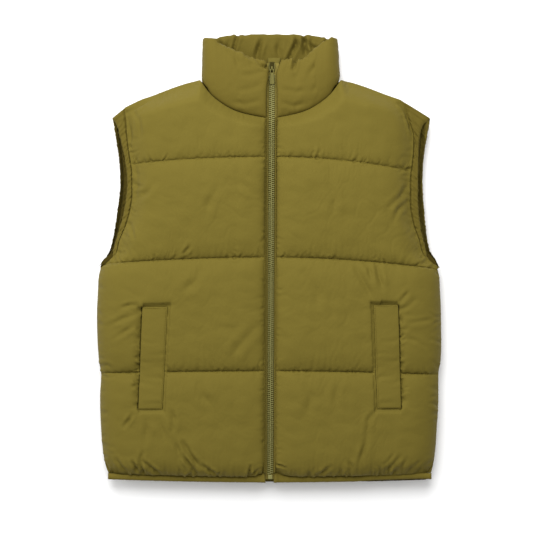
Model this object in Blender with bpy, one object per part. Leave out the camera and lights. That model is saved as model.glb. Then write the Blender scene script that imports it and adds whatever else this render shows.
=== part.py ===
"""Padded vest with a stand collar, zipped up and laid flat on its back.

Frame: +X to the wearer's left, +Y to the collar, +Z up off the surface it lies on. The origin is on
that surface, on the zip's line, half way between the hem and the collar's rim.
Tables are in millimetres, and turned into metres as each mesh is made.
"""

import math

import bmesh
import bpy
import numpy as np
from mathutils import Vector
from mathutils.bvhtree import BVHTree

MM = 0.001
SIDES = {"right": -1, "left": 1}    # the wearer's sides, and the sign of x there
GAP = 0.3                           # between two pieces that are sewn or lie together

# heights above the surface
LINING_Z = 26.25                    # the fronts' lining lies on the back's lining here
FRONT_FLOOR = LINING_Z + GAP / 2
BACK_CEILING = LINING_Z - GAP / 2
TAPE_FLOOR = FRONT_FLOOR + GAP / 2
TAPE_THICK = 1.0
ZIP_FLOOR = TAPE_FLOOR + TAPE_THICK + GAP   # underside of all that lies on the zip's tapes
FRONT_SEAM_Z = 33.0                 # the fronts' shell along its seams and quilt lines
BACK_SEAM_Z = 15.0                  # the same for the back's shell, underneath
BACK_SAG = 24.0                     # how far the back's filling would hang if nothing held it up

# the zip leans a little across the fronts
ZIP_X_AT_HEM = -0.5
ZIP_X_AT_TOP = 2.5
ZIP_HEM_Y = -381.0
ZIP_TOP_Y = 343.0
ZIP_HALF_GAP = 8.5                  # from the zip's line to each front's folded edge

# Lines sewn across the body: y at the zip, and how far each has dropped QUILT_SPAN away from it
QUILT_SPAN = 280.0
QUILT_LINES = (
    {"name": "hem", "y": -383.0, "right_drop": -5.4, "left_drop": -5.4},
    {"name": "hip", "y": -198.0, "right_drop": 3.5, "left_drop": 6.2},
    {"name": "chest", "y": -0.5, "right_drop": 10.5, "left_drop": 19.3},
    {"name": "yoke", "y": 174.0, "right_drop": 15.8, "left_drop": 31.5},
)
FRONT_CRESTS = (59.0, 62.0, 60.0, 55.0)     # top of each baffle's filling, from the hem up

# Half widths along the side seams
SIDE_SEAM = (
    # y, right, left
    (-384, 283.0, 281.0),
    (-366, 290.0, 286.0),
    (-338, 295.0, 290.0),
    (-296, 298.5, 293.0),
    (-245, 300.0, 295.5),
    (-206, 298.0, 295.5),
    (-180, 302.0, 299.5),
    (-100, 305.4, 300.0),
    (-58, 303.6, 298.4),
    (-32, 302.0, 296.6),
    (-22, 300.0, 294.0),
)
# Where the fronts are sewn to their armhole bands, from the underarm to the shoulder
ARMHOLE_SEAM = (
    # y, right, left
    (-20, 297.0, 291.0),
    (-12, 291.0, 284.0),
    (5, 271.0, 267.0),
    (28, 264.0, 260.0),
    (60, 251.0, 249.0),
    (100, 242.0, 243.5),
    (140, 241.5, 244.0),
    (190, 248.0, 249.5),
    (215, 250.5, 249.0),
    (240, 252.5, 241.0),
    (262, 255.0, 234.0),
    (275, 256.0, 228.0),
)
# The bands' free edges; the back's lie a little wider than the fronts'
ARMHOLE_EDGE = (
    # y, right front, left front, right back, left back
    (-18, 301.0, 295.0, 302.5, 296.5),
    (-4, 279.0, 277.0, 291.0, 289.0),
    (12, 276.0, 274.0, 281.5, 279.5),
    (40, 269.0, 268.5, 274.0, 274.0),
    (80, 259.0, 262.0, 267.5, 270.0),
    (130, 252.5, 260.6, 263.5, 267.0),
    (170, 255.5, 261.0, 265.5, 268.0),
    (210, 264.0, 264.5, 270.5, 273.0),
    (243, 277.0, 279.0, 277.5, 279.5),
)
# Shoulder line, from the collar out
SHOULDER = (
    # x, y
    (123, 309.0),
    (140, 306.0),
    (163, 299.0),
    (200, 285.0),
    (236, 271.0),
    (261, 257.0),
    (278, 243.0),
)
NECK_X = SHOULDER[0][0]
# Neck seam, from the zip out to the shoulder line
NECK = (
    # x, front, back
    (9, 242.6, 288.0),
    (38, 248.0, 288.6),
    (68, 257.0, 290.5),
    (98, 277.0, 294.5),
    (108, 284.5, 297.5),
    (123, 309.0, 309.0),
)
# Collar's rim, from the zip out to its side folds
COLLAR_RIM = (
    # x, right front, left front, back
    (8, 342.3, 344.0, 390.0),
    (24, 345.0, 345.0, 390.0),
    (46, 354.0, 342.0, 389.5),
    (70, 361.5, 356.5, 388.5),
    (90, 370.0, 370.0, 386.0),
    (112, 379.5, 382.0, 382.5),
)
# How the collar turns over at each side: angle up from the fold's centre, and its two edges
COLLAR_FOLD = (
    # degrees, neck edge y, rim y
    (90, 292.6, 380.5),
    (45, 301.8, 381.5),
    (0, 307.6, 382.5),
    (-45, 305.9, 382.5),
    (-90, 301.4, 382.5),
)
COLLAR_HALF_WIDTH = 120.0
COLLAR_SEAM_THICK = 6.0
COLLAR_FILL = 11.0                  # thickness that the filling adds at mid height
COLLAR_FRONT_Z = (30.6, 38.5, 36.0)     # middle of the wall: at the neck, mid height and the rim
COLLAR_BACK_Z = (19.8, 9.2, 7.0)

# grid lines of the pieces, as shares of each one's width and of each baffle's height
FRONT_COLUMNS = (0, 0.02, 0.06, 0.14, 0.24, 0.34, 0.43, 0.5, 0.56, 0.68, 0.8, 0.9, 0.96, 1)
BACK_COLUMNS = (0, 0.12, 0.25, 0.36, 0.44, 0.5, 0.62, 0.76, 0.88, 0.96, 1)
NECK_SHARE = 0.5                    # share of a piece's columns that ends on the neck seam
ROWS = (0, 0.07, 0.2, 0.5, 0.8, 0.93, 1)
COLLAR_ROWS = (0, 0.08, 0.25, 0.5, 0.75, 0.92, 1)
ZIP_REACH = 40.0                    # how far from an edge the filling is at its full height
SIDE_REACH = 62.0

BAND_THICK = 4.6
HEM_BAND = {"height": 10.0, "thick": 6.0}
WELTS = {
    "right": {"inner_top": 178.7, "outer_top": 222.0, "inner_foot": 187.6, "outer_foot": 229.0,
              "top_y": -86.6, "foot_y": -264.5},
    "left": {"inner_top": 178.7, "outer_top": 221.0, "inner_foot": 185.0, "outer_foot": 226.0,
             "top_y": -83.5, "foot_y": -263.0},
}
WELT_THICK = 3.0
WELT_CLEAR = 0.5
WELT_CELLS = (6, 16)

TAPE_HALF_WIDTH = 12.5
CHAIN = {"width": 10.5, "thick": 2.6}
SLIDER = {"foot_y": 324.4, "length": 17.0, "foot_width": 9.0, "top_width": 12.0, "thick": 3.0,
          "bridge_width": 2.4, "bridge_thick": 1.4}
PULL = {"axis_y": 328.2, "axis_z": 32.2, "bar": 1.4, "width": 8.6, "length": 27.0, "thick": 1.4,
        "window_width": 4.0, "window_length": 5.6, "slot_width": 2.2, "slot_length": 7.0}
BOX = {"width": 9.0, "length": 7.5, "thick": 4.0}
GUARD = {"foot_y": 300.0, "top_y": 349.0, "foot_half": 5.0, "top_half": 12.8, "lean": 4.0,
         "thick": 1.2}

COLOURS = {
    # name: base colour, roughness, metallic
    "shell": ((0.205, 0.160, 0.030), 0.62, 0.0),
    "guard": ((0.240, 0.190, 0.045), 0.70, 0.0),
    "tape": ((0.120, 0.100, 0.025), 0.85, 0.0),
    "teeth": ((0.230, 0.225, 0.090), 0.35, 0.0),
    "slider": ((0.060, 0.055, 0.035), 0.40, 0.6),
}


def column(table, index):
    """One column of a table, as an array."""
    return np.array([row[index] for row in table], dtype=float)


def read(table, at, index):
    """A table's column, read between its rows."""
    return float(np.interp(at, column(table, 0), column(table, index)))


def side_column(side):
    return 1 if side == "right" else 2


def zip_x(y):
    return float(np.interp(y, (ZIP_HEM_Y, ZIP_TOP_Y), (ZIP_X_AT_HEM, ZIP_X_AT_TOP)))


def quilt_y(line, x):
    """Height up the body of a quilt line, x out from the zip."""
    drop = line["right_drop"] if x < 0 else line["left_drop"]
    return line["y"] - drop * (x / QUILT_SPAN) ** 2


def front_edge(side, y):
    """Half width of a front: its side seam, then its armhole seam."""
    table = SIDE_SEAM if y < ARMHOLE_SEAM[0][0] else ARMHOLE_SEAM
    return read(table, y, side_column(side))


def back_edge(side, y):
    """Half width of the back, whose armhole lies wider than the fronts' does."""
    wider = 0.0
    if y >= ARMHOLE_SEAM[0][0]:
        index = side_column(side)
        wider = read(ARMHOLE_EDGE, y, index + 2) - read(ARMHOLE_EDGE, y, index)
    return front_edge(side, y) + wider


def line_end(line, side, edge):
    """Where a quilt line meets the outer edge of a piece."""
    sign = SIDES[side]
    y = line["y"]
    for _ in range(4):
        x = edge(side, y)
        y = quilt_y(line, sign * x)
    return np.array([sign * x, y])


def shoulder_end(side):
    """Where the shoulder line meets the armhole seam."""
    x = SHOULDER[-1][0]
    for _ in range(8):
        y = read(SHOULDER, x, 1)
        x = 0.5 * (x + read(ARMHOLE_SEAM, y, side_column(side)))
    return np.array([SIDES[side] * x, y])


def blend(a, b, share):
    return a + (b - a) * share


def coons(foot, head, inner, outer, u, v):
    """Point of the patch between four edge curves, which meet at its corners."""
    corners = (blend(foot(0), foot(1), u), blend(head(0), head(1), u))
    return blend(foot(u), head(u), v) + blend(inner(v), outer(v), u) - blend(*corners, v)


def half_panel(side, columns, inner_x, edge, neck_index):
    """Grid of plan points of one front, or of one half of the back, row by row from the hem up."""
    sign = SIDES[side]

    def quilt_curve(line):
        end = line_end(line, side, edge)

        def curve(u):
            x = blend(inner_x(line["y"]), end[0], u)
            return np.array([x, quilt_y(line, x)])
        return curve

    def top_curve(u):
        start = abs(inner_x(NECK[0][1]))
        if u <= NECK_SHARE:
            x = blend(start, NECK_X, u / NECK_SHARE)
            return np.array([sign * x, read(NECK, x, neck_index)])
        share = (u - NECK_SHARE) / (1 - NECK_SHARE)
        x = blend(NECK_X, abs(shoulder_end(side)[0]), share)
        return np.array([sign * x, read(SHOULDER, x, 1)])

    curves = [quilt_curve(line) for line in QUILT_LINES] + [top_curve]
    grid = []
    for index, (foot, head) in enumerate(zip(curves, curves[1:])):

        def inner(v, foot=foot, head=head):
            y = blend(foot(0)[1], head(0)[1], v)
            return np.array([blend(foot(0)[0], head(0)[0], v), y])

        def outer(v, foot=foot, head=head):
            y = blend(foot(1)[1], head(1)[1], v)
            return np.array([sign * edge(side, y), y])

        for v in ROWS[:-1] if index < len(QUILT_LINES) - 1 else ROWS:
            grid.append([coons(foot, head, inner, outer, u, v) for u in columns])
    return np.array(grid)


def rise(share):
    """How full a baffle is, a share of the way in from its seam."""
    return 1 - (1 - min(max(share, 0.0), 1.0)) ** 2.3


def row_shares():
    """For each row of a grid: its baffle, and how full it is there."""
    rows = []
    last = len(QUILT_LINES) - 1
    for baffle in range(last + 1):
        for v in ROWS[:-1] if baffle < last else ROWS:
            rows.append((baffle, rise(2 * min(v, 1 - v))))
    return rows


def grid_faces(rows, columns, start, flip):
    faces = []
    for r in range(rows - 1):
        for c in range(columns - 1):
            a = start + r * columns + c
            quad = (a, a + 1, a + columns + 1, a + columns)
            faces.append(quad[::-1] if flip else quad)
    return faces


def slab(name, top, bottom, material, collection):
    """Closed solid between two grids of points of one size, the first of them the upper."""
    rows, columns = top.shape[:2]
    count = rows * columns
    points = np.concatenate([top.reshape(-1, 3), bottom.reshape(-1, 3)]) * MM
    faces = grid_faces(rows, columns, 0, False) + grid_faces(rows, columns, count, True)
    rim = [(0, c) for c in range(columns)]
    rim += [(r, columns - 1) for r in range(1, rows)]
    rim += [(rows - 1, c) for c in range(columns - 2, -1, -1)]
    rim += [(r, 0) for r in range(rows - 2, 0, -1)]
    ring = [r * columns + c for r, c in rim]
    for a, b in zip(ring, ring[1:] + ring[:1]):
        faces.append((a, a + count, b + count, b))
    return add_mesh(name, points, faces, material, collection)


def add_mesh(name, points, faces, material, collection):
    """Object from points and faces, turned so that its faces look out."""
    mesh = bpy.data.meshes.new(name)
    mesh.from_pydata([tuple(p) for p in points], [], faces)
    bm = bmesh.new()
    bm.from_mesh(mesh)
    bmesh.ops.triangulate(bm, faces=bm.faces[:])
    bmesh.ops.recalc_face_normals(bm, faces=bm.faces[:])
    bm.to_mesh(mesh)
    bm.free()
    mesh.materials.append(material)
    mesh.shade_smooth()
    mesh.set_sharp_from_angle(angle=math.radians(50))
    thing = bpy.data.objects.new(name, mesh)
    collection.objects.link(thing)
    return thing


def add_front(side, material, collection):
    """One front: flat where its lining lies on the back's, and full between its quilt lines."""
    sign = SIDES[side]

    def fold_x(y):
        return zip_x(y) + sign * ZIP_HALF_GAP

    plan = half_panel(side, FRONT_COLUMNS, fold_x, front_edge, 1)
    top = np.zeros((*plan.shape[:2], 3))
    bottom = np.zeros_like(top)
    for r, (baffle, fullness) in enumerate(row_shares()):
        for c in range(plan.shape[1]):
            x, y = plan[r, c]
            from_zip = abs(x - plan[r, 0, 0])
            from_side = abs(plan[r, -1, 0] - x)
            share = fullness * rise(from_zip / ZIP_REACH) * rise(from_side / SIDE_REACH)
            top[r, c] = x, y, blend(FRONT_SEAM_Z, FRONT_CRESTS[baffle], share)
            bottom[r, c] = x, y, ZIP_FLOOR if c < 2 else FRONT_FLOOR
    return plan, slab(f"front_{side}", top, bottom, material, collection)


def add_back(material, collection):
    """The back: its filling pressed flat on the surface between the quilt lines."""

    def centre_x(_):
        return 0.0

    halves = {side: half_panel(side, BACK_COLUMNS, centre_x, back_edge, 2) for side in SIDES}
    plan = np.concatenate([halves["right"][:, :0:-1], halves["left"]], axis=1)
    top = np.zeros((*plan.shape[:2], 3))
    bottom = np.zeros_like(top)
    for r, (_, fullness) in enumerate(row_shares()):
        for c in range(plan.shape[1]):
            x, y = plan[r, c]
            nearest = min(abs(x - plan[r, 0, 0]), abs(plan[r, -1, 0] - x))
            share = fullness * rise(nearest / SIDE_REACH)
            top[r, c] = x, y, BACK_CEILING
            bottom[r, c] = x, y, max(0.0, BACK_SEAM_Z - BACK_SAG * share)
    slab("back", top, bottom, material, collection)
    return halves


def armhole_points(plan):
    """The outer edge of a panel's grid above the chest line, from the underarm up."""
    first = QUILT_LINES.index(next(line for line in QUILT_LINES if line["name"] == "chest"))
    return plan[first * (len(ROWS) - 1):, -1]


def add_armhole_band(side, layer, plan, material, collection):
    """Flat band from a panel's armhole seam out to its free edge."""
    seam = armhole_points(plan)
    sign = SIDES[side]
    index = side_column(side) + (2 if layer == "back" else 0)
    low, high = ARMHOLE_EDGE[0][0], ARMHOLE_EDGE[-1][0]
    shares = (seam[:, 1] - seam[0, 1]) / (seam[-1, 1] - seam[0, 1])
    rows = []
    for point, share in zip(seam, shares):
        y = blend(low, high, share)
        edge = np.array([sign * read(ARMHOLE_EDGE, y, index), y])
        out = (edge - point) / np.linalg.norm(edge - point)
        rows.append([point + out * GAP * 1.3, blend(point, edge, 0.5), edge])
    plan = np.array(rows)
    floor = FRONT_FLOOR if layer == "front" else BACK_CEILING - BAND_THICK
    bottom = np.dstack([plan, np.full(plan.shape[:2], floor)])
    top = bottom + [0, 0, BAND_THICK]
    return slab(f"armhole_band_{layer}_{side}", top, bottom, material, collection)


def add_hem_band(name, edge, floors, thick, material, collection):
    """Narrow band below a panel's lowest row of points."""
    rows = [edge - [0, HEM_BAND["height"]], edge - [0, GAP]]
    bottom = np.array([[(x, y, z) for (x, y), z in zip(row, floors)] for row in rows])
    top = bottom.copy()
    top[:, :, 2] = max(floors) + thick
    return slab(name, top, bottom, material, collection)


def three_point(values, share):
    """Value at a share of the way through three, which are its start, middle and end."""
    start, middle, end = values
    if share < 0.5:
        return blend(start, middle, math.sin(share * math.pi))
    return blend(end, middle, math.sin(share * math.pi))


def collar_stations(front_plans, back_halves):
    """Stations along the collar, from one zip edge round the back to the other.

    Each has its neck edge's x before the side fold, its angle round that fold, its two edges'
    heights up the body, and the side that it is on.
    """
    stations = []
    for side, sign in SIDES.items():
        neck = [p for u, p in zip(FRONT_COLUMNS, front_plans[side][-1]) if u < NECK_SHARE]
        back = [p for u, p in zip(BACK_COLUMNS, back_halves[side][-1]) if 0 < u < NECK_SHARE]
        half = []
        for x, y in neck:
            rim = read(COLLAR_RIM, abs(x), side_column(side))
            half.append((sign, x, 90, y + GAP * 1.4, rim))
        half += [(sign, None, *row) for row in COLLAR_FOLD]
        for x, y in reversed(back):
            half.append((sign, x, -90, y + GAP * 1.4, read(COLLAR_RIM, abs(x), 3)))
        if sign > 0:
            middle = back_halves[side][-1][0]
            stations.append((sign, middle[0], -90, middle[1] + GAP * 1.4, COLLAR_RIM[0][3]))
            half.reverse()
        stations += half
    return stations


def add_collar(front_plans, back_halves, material, collection):
    """Padded collar: one strip, flattened so that it turns over at both sides."""
    points = []
    for sign, x, degrees, neck_y, rim_y in collar_stations(front_plans, back_halves):
        outside, inside = [], []
        for v in COLLAR_ROWS:
            thick = COLLAR_SEAM_THICK + COLLAR_FILL * rise(2 * min(v, 1 - v))
            front_z = three_point(COLLAR_FRONT_Z, v)
            back_z = three_point(COLLAR_BACK_Z, v)
            radius = (front_z - back_z) / 2
            centre_x = COLLAR_HALF_WIDTH - thick / 2 - radius
            neck_radius = (COLLAR_FRONT_Z[0] - COLLAR_BACK_Z[0]) / 2
            neck_centre_x = COLLAR_HALF_WIDTH - COLLAR_SEAM_THICK / 2 - neck_radius
            if x is None:
                plan_x = centre_x
            elif degrees > 0:
                start = abs(zip_x(neck_y) + sign * ZIP_HALF_GAP)
                share = (abs(x) - start) / (neck_centre_x - start)
                plan_x = blend(start, centre_x, share)
            else:
                plan_x = abs(x) * centre_x / neck_centre_x
            angle = math.radians(degrees)
            across = np.array([sign * math.cos(angle), 0, math.sin(angle)])
            y = blend(neck_y, rim_y, v)
            middle = np.array([sign * plan_x, y, (front_z + back_z) / 2]) + radius * across
            outside.append(middle + across * thick / 2)
            inside.append(middle - across * thick / 2)
        points.append(outside + inside[::-1])
    rings = np.array(points)
    count, size = rings.shape[:2]
    faces = []
    for s in range(count - 1):
        for k in range(size):
            a, b = s * size + k, s * size + (k + 1) % size
            faces.append((a, b, b + size, a + size))
    faces.append(tuple(range(size)))
    faces.append(tuple(range((count - 1) * size, count * size))[::-1])
    return add_mesh("collar", rings.reshape(-1, 3) * MM, faces, material, collection)


def surface_height(tree, x, y, reach):
    """Highest point of a surface within reach of a plan point."""
    heights = []
    for dx in (-reach, 0, reach):
        for dy in (-reach, 0, reach):
            hit = tree.ray_cast(Vector(((x + dx) * MM, (y + dy) * MM, 1)), Vector((0, 0, -1)))[0]
            if hit is not None:
                heights.append(hit.z / MM)
    return max(heights)


def add_welt(side, front, material, collection):
    """Pocket welt: a flat strip on the front, its points moved out from the front's own."""
    sign = SIDES[side]
    size = WELTS[side]
    bm = bmesh.new()
    bm.from_mesh(front.data)
    tree = BVHTree.FromBMesh(bm)
    across, along = WELT_CELLS
    bottom = np.zeros((along + 1, across + 1, 3))
    for r in range(along + 1):
        v = r / along
        y = blend(size["foot_y"], size["top_y"], v)
        inner = blend(size["inner_foot"], size["inner_top"], v)
        outer = blend(size["outer_foot"], size["outer_top"], v)
        for c in range(across + 1):
            x = sign * blend(inner, outer, c / across)
            height = surface_height(tree, x, y, reach=3.0)
            bottom[r, c] = x, y, height + WELT_CLEAR
    bm.free()
    top = bottom + [0, 0, WELT_THICK]
    return slab(f"pocket_welt_{side}", top, bottom, material, collection)


def leaning_bar(name, left, right, foot_y, top_y, floor, thick, material, collection):
    """Bar that runs along the zip, from left to right of its line."""
    rows = []
    for y in (foot_y, top_y):
        rows.append([(zip_x(y) + left, y, floor), (zip_x(y) + right, y, floor)])
    bottom = np.array(rows)
    return slab(name, bottom + [0, 0, thick], bottom, material, collection)


def box_cutter(name, centre, size, collection):
    """Box that cuts another piece, and isn't built itself."""
    bpy.ops.mesh.primitive_cube_add(size=1, location=Vector(centre) * MM)
    cutter = bpy.context.object
    cutter.name = name
    cutter.scale = Vector(size) * MM
    bpy.ops.object.transform_apply(location=False, rotation=False, scale=True)
    cutter.hide_render = True
    cutter.display_type = "WIRE"
    for owner in cutter.users_collection:
        owner.objects.unlink(cutter)
    collection.objects.link(cutter)
    return cutter


def add_slider(material, collection, cutters):
    """Slider body on the tapes, with a bridge over the pull's crossbar."""
    middle = zip_x(PULL["axis_y"])
    foot, head = SLIDER["foot_y"], SLIDER["foot_y"] + SLIDER["length"]
    plate_top = ZIP_FLOOR + SLIDER["thick"]
    bridge_top = PULL["axis_z"] + 1.2 + SLIDER["bridge_thick"]
    outline = [
        (SLIDER["foot_width"] / 2, foot),
        (SLIDER["top_width"] / 2, blend(foot, head, 0.55)),
        (SLIDER["foot_width"] / 2, head),
    ]
    half_bridge = SLIDER["bridge_width"] / 2
    feet_y = (PULL["axis_y"] - 2.5, PULL["axis_y"] + 5.0)
    bm = bmesh.new()
    ring = [(middle + x, y) for x, y in outline] + [(middle - x, y) for x, y in outline[::-1]]
    face = bm.faces.new([bm.verts.new((x * MM, y * MM, ZIP_FLOOR * MM)) for x, y in ring])
    raised = bmesh.ops.extrude_face_region(bm, geom=[face])
    for item in raised["geom"]:
        if isinstance(item, bmesh.types.BMVert):
            item.co.z = plate_top * MM
    mesh = bpy.data.meshes.new("zip_slider")
    bmesh.ops.recalc_face_normals(bm, faces=bm.faces[:])
    bm.to_mesh(mesh)
    bm.free()
    mesh.materials.append(material)
    slider = bpy.data.objects.new("zip_slider", mesh)
    collection.objects.link(slider)
    centre_y = sum(feet_y) / 2
    arch = box_cutter(
        "slider_arch",
        (middle, centre_y, (plate_top + bridge_top) / 2 - 0.5),
        (2 * half_bridge, feet_y[1] - feet_y[0], bridge_top - plate_top + 1.0),
        cutters,
    )
    way = box_cutter(
        "slider_way",
        (middle, PULL["axis_y"] + 1.0, PULL["axis_z"]),
        (4 * half_bridge, 4.4, 2 * (PULL["axis_z"] - plate_top)),
        cutters,
    )
    for cutter, operation in ((arch, "UNION"), (way, "DIFFERENCE")):
        boolean = slider.modifiers.new(cutter.name, "BOOLEAN")
        boolean.operation = operation
        boolean.object = cutter
    return slider


def rounded_rectangle(curve, centre, size, radius):
    """Closed spline of a rectangle with round corners."""
    half = Vector(size) / 2
    points = []
    for start, (sx, sy) in zip((0, 90, 180, 270), ((1, 1), (-1, 1), (-1, -1), (1, -1))):
        corner = Vector((centre[0] + sx * (half.x - radius), centre[1] + sy * (half.y - radius)))
        for step in range(4):
            angle = math.radians(start + 30 * step)
            points.append(corner + radius * Vector((math.cos(angle), math.sin(angle))))
    spline = curve.splines.new("POLY")
    spline.points.add(len(points) - 1)
    for target, point in zip(spline.points, points):
        target.co = (point.x * MM, point.y * MM, 0, 1)
    spline.use_cyclic_u = True


def add_pull(material, collection):
    """Pull tab: a plate with a window round the slider's bridge and a slot near its end.

    Its origin is on its hinge, the middle of the bar above the window, and it lies to the hem.
    """
    curve = bpy.data.curves.new("zip_pull", "CURVE")
    curve.dimensions = "2D"
    curve.fill_mode = "BOTH"
    curve.extrude = PULL["thick"] / 2 * MM
    head = PULL["bar"] / 2
    middle_y = head - PULL["length"] / 2
    rounded_rectangle(curve, (0, middle_y), (PULL["width"], PULL["length"]), 0.9)
    window_y = -head - PULL["window_length"] / 2
    rounded_rectangle(curve, (0, window_y), (PULL["window_width"], PULL["window_length"]), 0.3)
    slot_y = head - PULL["length"] + 2.4 + PULL["slot_length"] / 2
    rounded_rectangle(curve, (0, slot_y), (PULL["slot_width"], PULL["slot_length"]), 1.0)
    pull = bpy.data.objects.new("zip_pull", curve)
    pull.location = Vector((zip_x(PULL["axis_y"]), PULL["axis_y"], PULL["axis_z"])) * MM
    curve.materials.append(material)
    collection.objects.link(pull)
    return pull


def add_zip(materials, collection, cutters):
    """Tapes, closed chain, bottom box, slider, pull tab and the guard behind the slider."""
    for side, sign in SIDES.items():
        edges = sorted((sign * GAP, sign * TAPE_HALF_WIDTH))
        leaning_bar(f"zip_tape_{side}", *edges, ZIP_HEM_Y, ZIP_TOP_Y - 3, TAPE_FLOOR,
                    TAPE_THICK, materials["tape"], collection)
    half = CHAIN["width"] / 2
    leaning_bar("zip_chain", -half, half, ZIP_HEM_Y + GAP, SLIDER["foot_y"] - GAP, ZIP_FLOOR,
                CHAIN["thick"], materials["teeth"], collection)
    half = BOX["width"] / 2
    box_top = ZIP_HEM_Y - GAP
    leaning_bar("zip_box", -half, half, box_top - BOX["length"], box_top, TAPE_FLOOR,
                BOX["thick"], materials["teeth"], collection)
    add_slider(materials["slider"], collection, cutters)
    add_pull(materials["slider"], collection)
    rows = []
    for y, half in ((GUARD["foot_y"], GUARD["foot_half"]), (GUARD["top_y"], GUARD["top_half"])):
        centre = zip_x(y) + GUARD["lean"] * (y - GUARD["foot_y"]) / (GUARD["top_y"] - GUARD["foot_y"])
        rows.append([(centre - half, y, 0), (centre + half, y, 0)])
    top = np.array(rows) + [0, 0, TAPE_FLOOR - GAP]
    slab("zip_guard", top, top - [0, 0, GUARD["thick"]], materials["guard"], collection)


def make_material(name, colour, roughness, metallic):
    material = bpy.data.materials.new(name)
    material.use_nodes = True
    shader = material.node_tree.nodes["Principled BSDF"]
    shader.inputs["Base Color"].default_value = (*colour, 1)
    shader.inputs["Roughness"].default_value = roughness
    shader.inputs["Metallic"].default_value = metallic
    return material


def new_collection(name):
    collection = bpy.data.collections.new(name)
    bpy.context.scene.collection.children.link(collection)
    return collection


def main():
    for thing in list(bpy.data.objects):
        bpy.data.objects.remove(thing, do_unlink=True)
    vest = new_collection("puffer_vest")
    cutters = new_collection("cutters")
    materials = {name: make_material(name, *values) for name, values in COLOURS.items()}
    shell = materials["shell"]

    halves = add_back(shell, vest)
    plans = {}
    for side in SIDES:
        plans[side], front = add_front(side, shell, vest)
        add_welt(side, front, shell, vest)
        add_armhole_band(side, "front", plans[side], shell, vest)
        add_armhole_band(side, "back", halves[side], shell, vest)
        floors = [ZIP_FLOOR if c < 2 else FRONT_FLOOR for c in range(len(FRONT_COLUMNS))]
        add_hem_band(f"hem_band_front_{side}", plans[side][0], floors, HEM_BAND["thick"],
                     shell, vest)
    back_hem = np.concatenate([halves["right"][0, :0:-1], halves["left"][0]])
    floors = [BACK_CEILING - HEM_BAND["thick"]] * len(back_hem)
    add_hem_band("hem_band_back", back_hem, floors, HEM_BAND["thick"], shell, vest)
    add_collar(plans, halves, shell, vest)
    add_zip(materials, vest, cutters)


main()
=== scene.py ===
# Looks of the padded vest, laid flat on its back: quilted shell, collar, bands, welts and zip.
# Tables are in millimetres in the frame of the fixed model: +X to the wearer's left, +Y to the collar.
import math

import bmesh
import bpy
import numpy as np
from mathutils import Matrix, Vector


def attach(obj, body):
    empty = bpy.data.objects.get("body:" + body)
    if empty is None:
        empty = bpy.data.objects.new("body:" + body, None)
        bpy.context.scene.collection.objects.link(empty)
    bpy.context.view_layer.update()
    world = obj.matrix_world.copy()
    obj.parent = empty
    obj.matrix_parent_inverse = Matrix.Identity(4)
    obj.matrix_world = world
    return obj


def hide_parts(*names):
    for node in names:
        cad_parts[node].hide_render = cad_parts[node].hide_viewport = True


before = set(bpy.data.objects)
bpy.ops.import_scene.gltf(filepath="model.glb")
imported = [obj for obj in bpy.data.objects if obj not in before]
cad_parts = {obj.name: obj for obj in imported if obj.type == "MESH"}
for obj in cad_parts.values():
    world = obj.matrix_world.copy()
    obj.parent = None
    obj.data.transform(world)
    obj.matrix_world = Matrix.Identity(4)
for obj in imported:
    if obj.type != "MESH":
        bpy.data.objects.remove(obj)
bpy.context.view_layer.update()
mm = 0.001
sides = {"right": -1, "left": 1}  # the wearer's sides, and the sign of x there

# the cut, as the fixed model has it

body = {
    "liningZ": 26.4, "backLiningZ": 26.1, "zipFloorZ": 27.9,
    "zipHalfGap": 8.5, "zipAtHem": -0.5, "zipAtTop": 2.5, "zipHemY": -381.0, "zipTopY": 343.0,
    "quiltSpan": 280.0, "neckShare": 0.5,
}
quiltLines = [
    # height at the zip, and how far each side has dropped at quiltSpan
    {"y": -383.0, "right": -5.4, "left": -5.4},
    {"y": -198.0, "right": 3.5, "left": 6.2},
    {"y": -0.5, "right": 10.5, "left": 19.3},
    {"y": 174.0, "right": 15.8, "left": 31.5},
]
sideSeam = [
    # y, right half width, left half width
    (-384, 283.0, 281.0), (-366, 290.0, 286.0), (-338, 295.0, 290.0), (-296, 298.5, 293.0),
    (-245, 300.0, 295.5), (-206, 298.0, 295.5), (-180, 302.0, 299.5), (-100, 305.4, 300.0),
    (-58, 303.6, 298.4), (-32, 302.0, 296.6), (-20, 299.0, 293.0),
]
armholeSeam = [
    # y, right, left: where the fronts are sewn to their armhole bands
    (-20, 299.0, 293.0), (-12, 290.0, 284.0), (5, 271.0, 267.0), (28, 264.0, 260.0),
    (60, 251.0, 249.0), (100, 242.0, 243.5), (140, 241.5, 244.0), (190, 248.0, 249.5),
    (215, 250.5, 249.0), (240, 252.5, 241.0), (262, 255.0, 234.0), (275, 256.0, 228.0),
]
armholeEdge = [
    # y, right front, left front, right back, left back: the bands' free edges
    (-18, 301.0, 295.0, 302.5, 296.5), (-4, 279.0, 277.0, 291.0, 289.0),
    (12, 275.5, 272.5, 282.0, 279.5), (40, 267.5, 265.5, 275.0, 274.0),
    (80, 256.8, 259.8, 268.8, 270.0), (130, 251.0, 258.8, 263.5, 267.0),
    (170, 255.0, 259.2, 265.5, 268.5), (210, 264.0, 261.8, 271.5, 274.5),
    (228, 268.5, 266.5, 274.3, 278.0), (243, 277.0, 279.0, 277.5, 279.8),
]
shoulder = [(123, 309.0), (140, 306.0), (163, 299.0), (200, 285.0), (236, 271.0), (261, 257.0),
            (278, 243.0)]
neck = [
    # x, front seam, back seam
    (9, 242.6, 288.0), (38, 248.0, 288.6), (68, 257.0, 290.5), (98, 277.0, 294.5),
    (108, 284.5, 297.5), (123, 309.0, 309.0),
]


def blend(a, b, share):
    return a + (b - a) * share


def easeIn(share):
    # from 0 to 1, level at both ends
    share = np.clip(share, 0, 1)
    return share * share * (3 - 2 * share)


def bell(away, reach):
    return np.exp(-(away / reach) ** 2)


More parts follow.
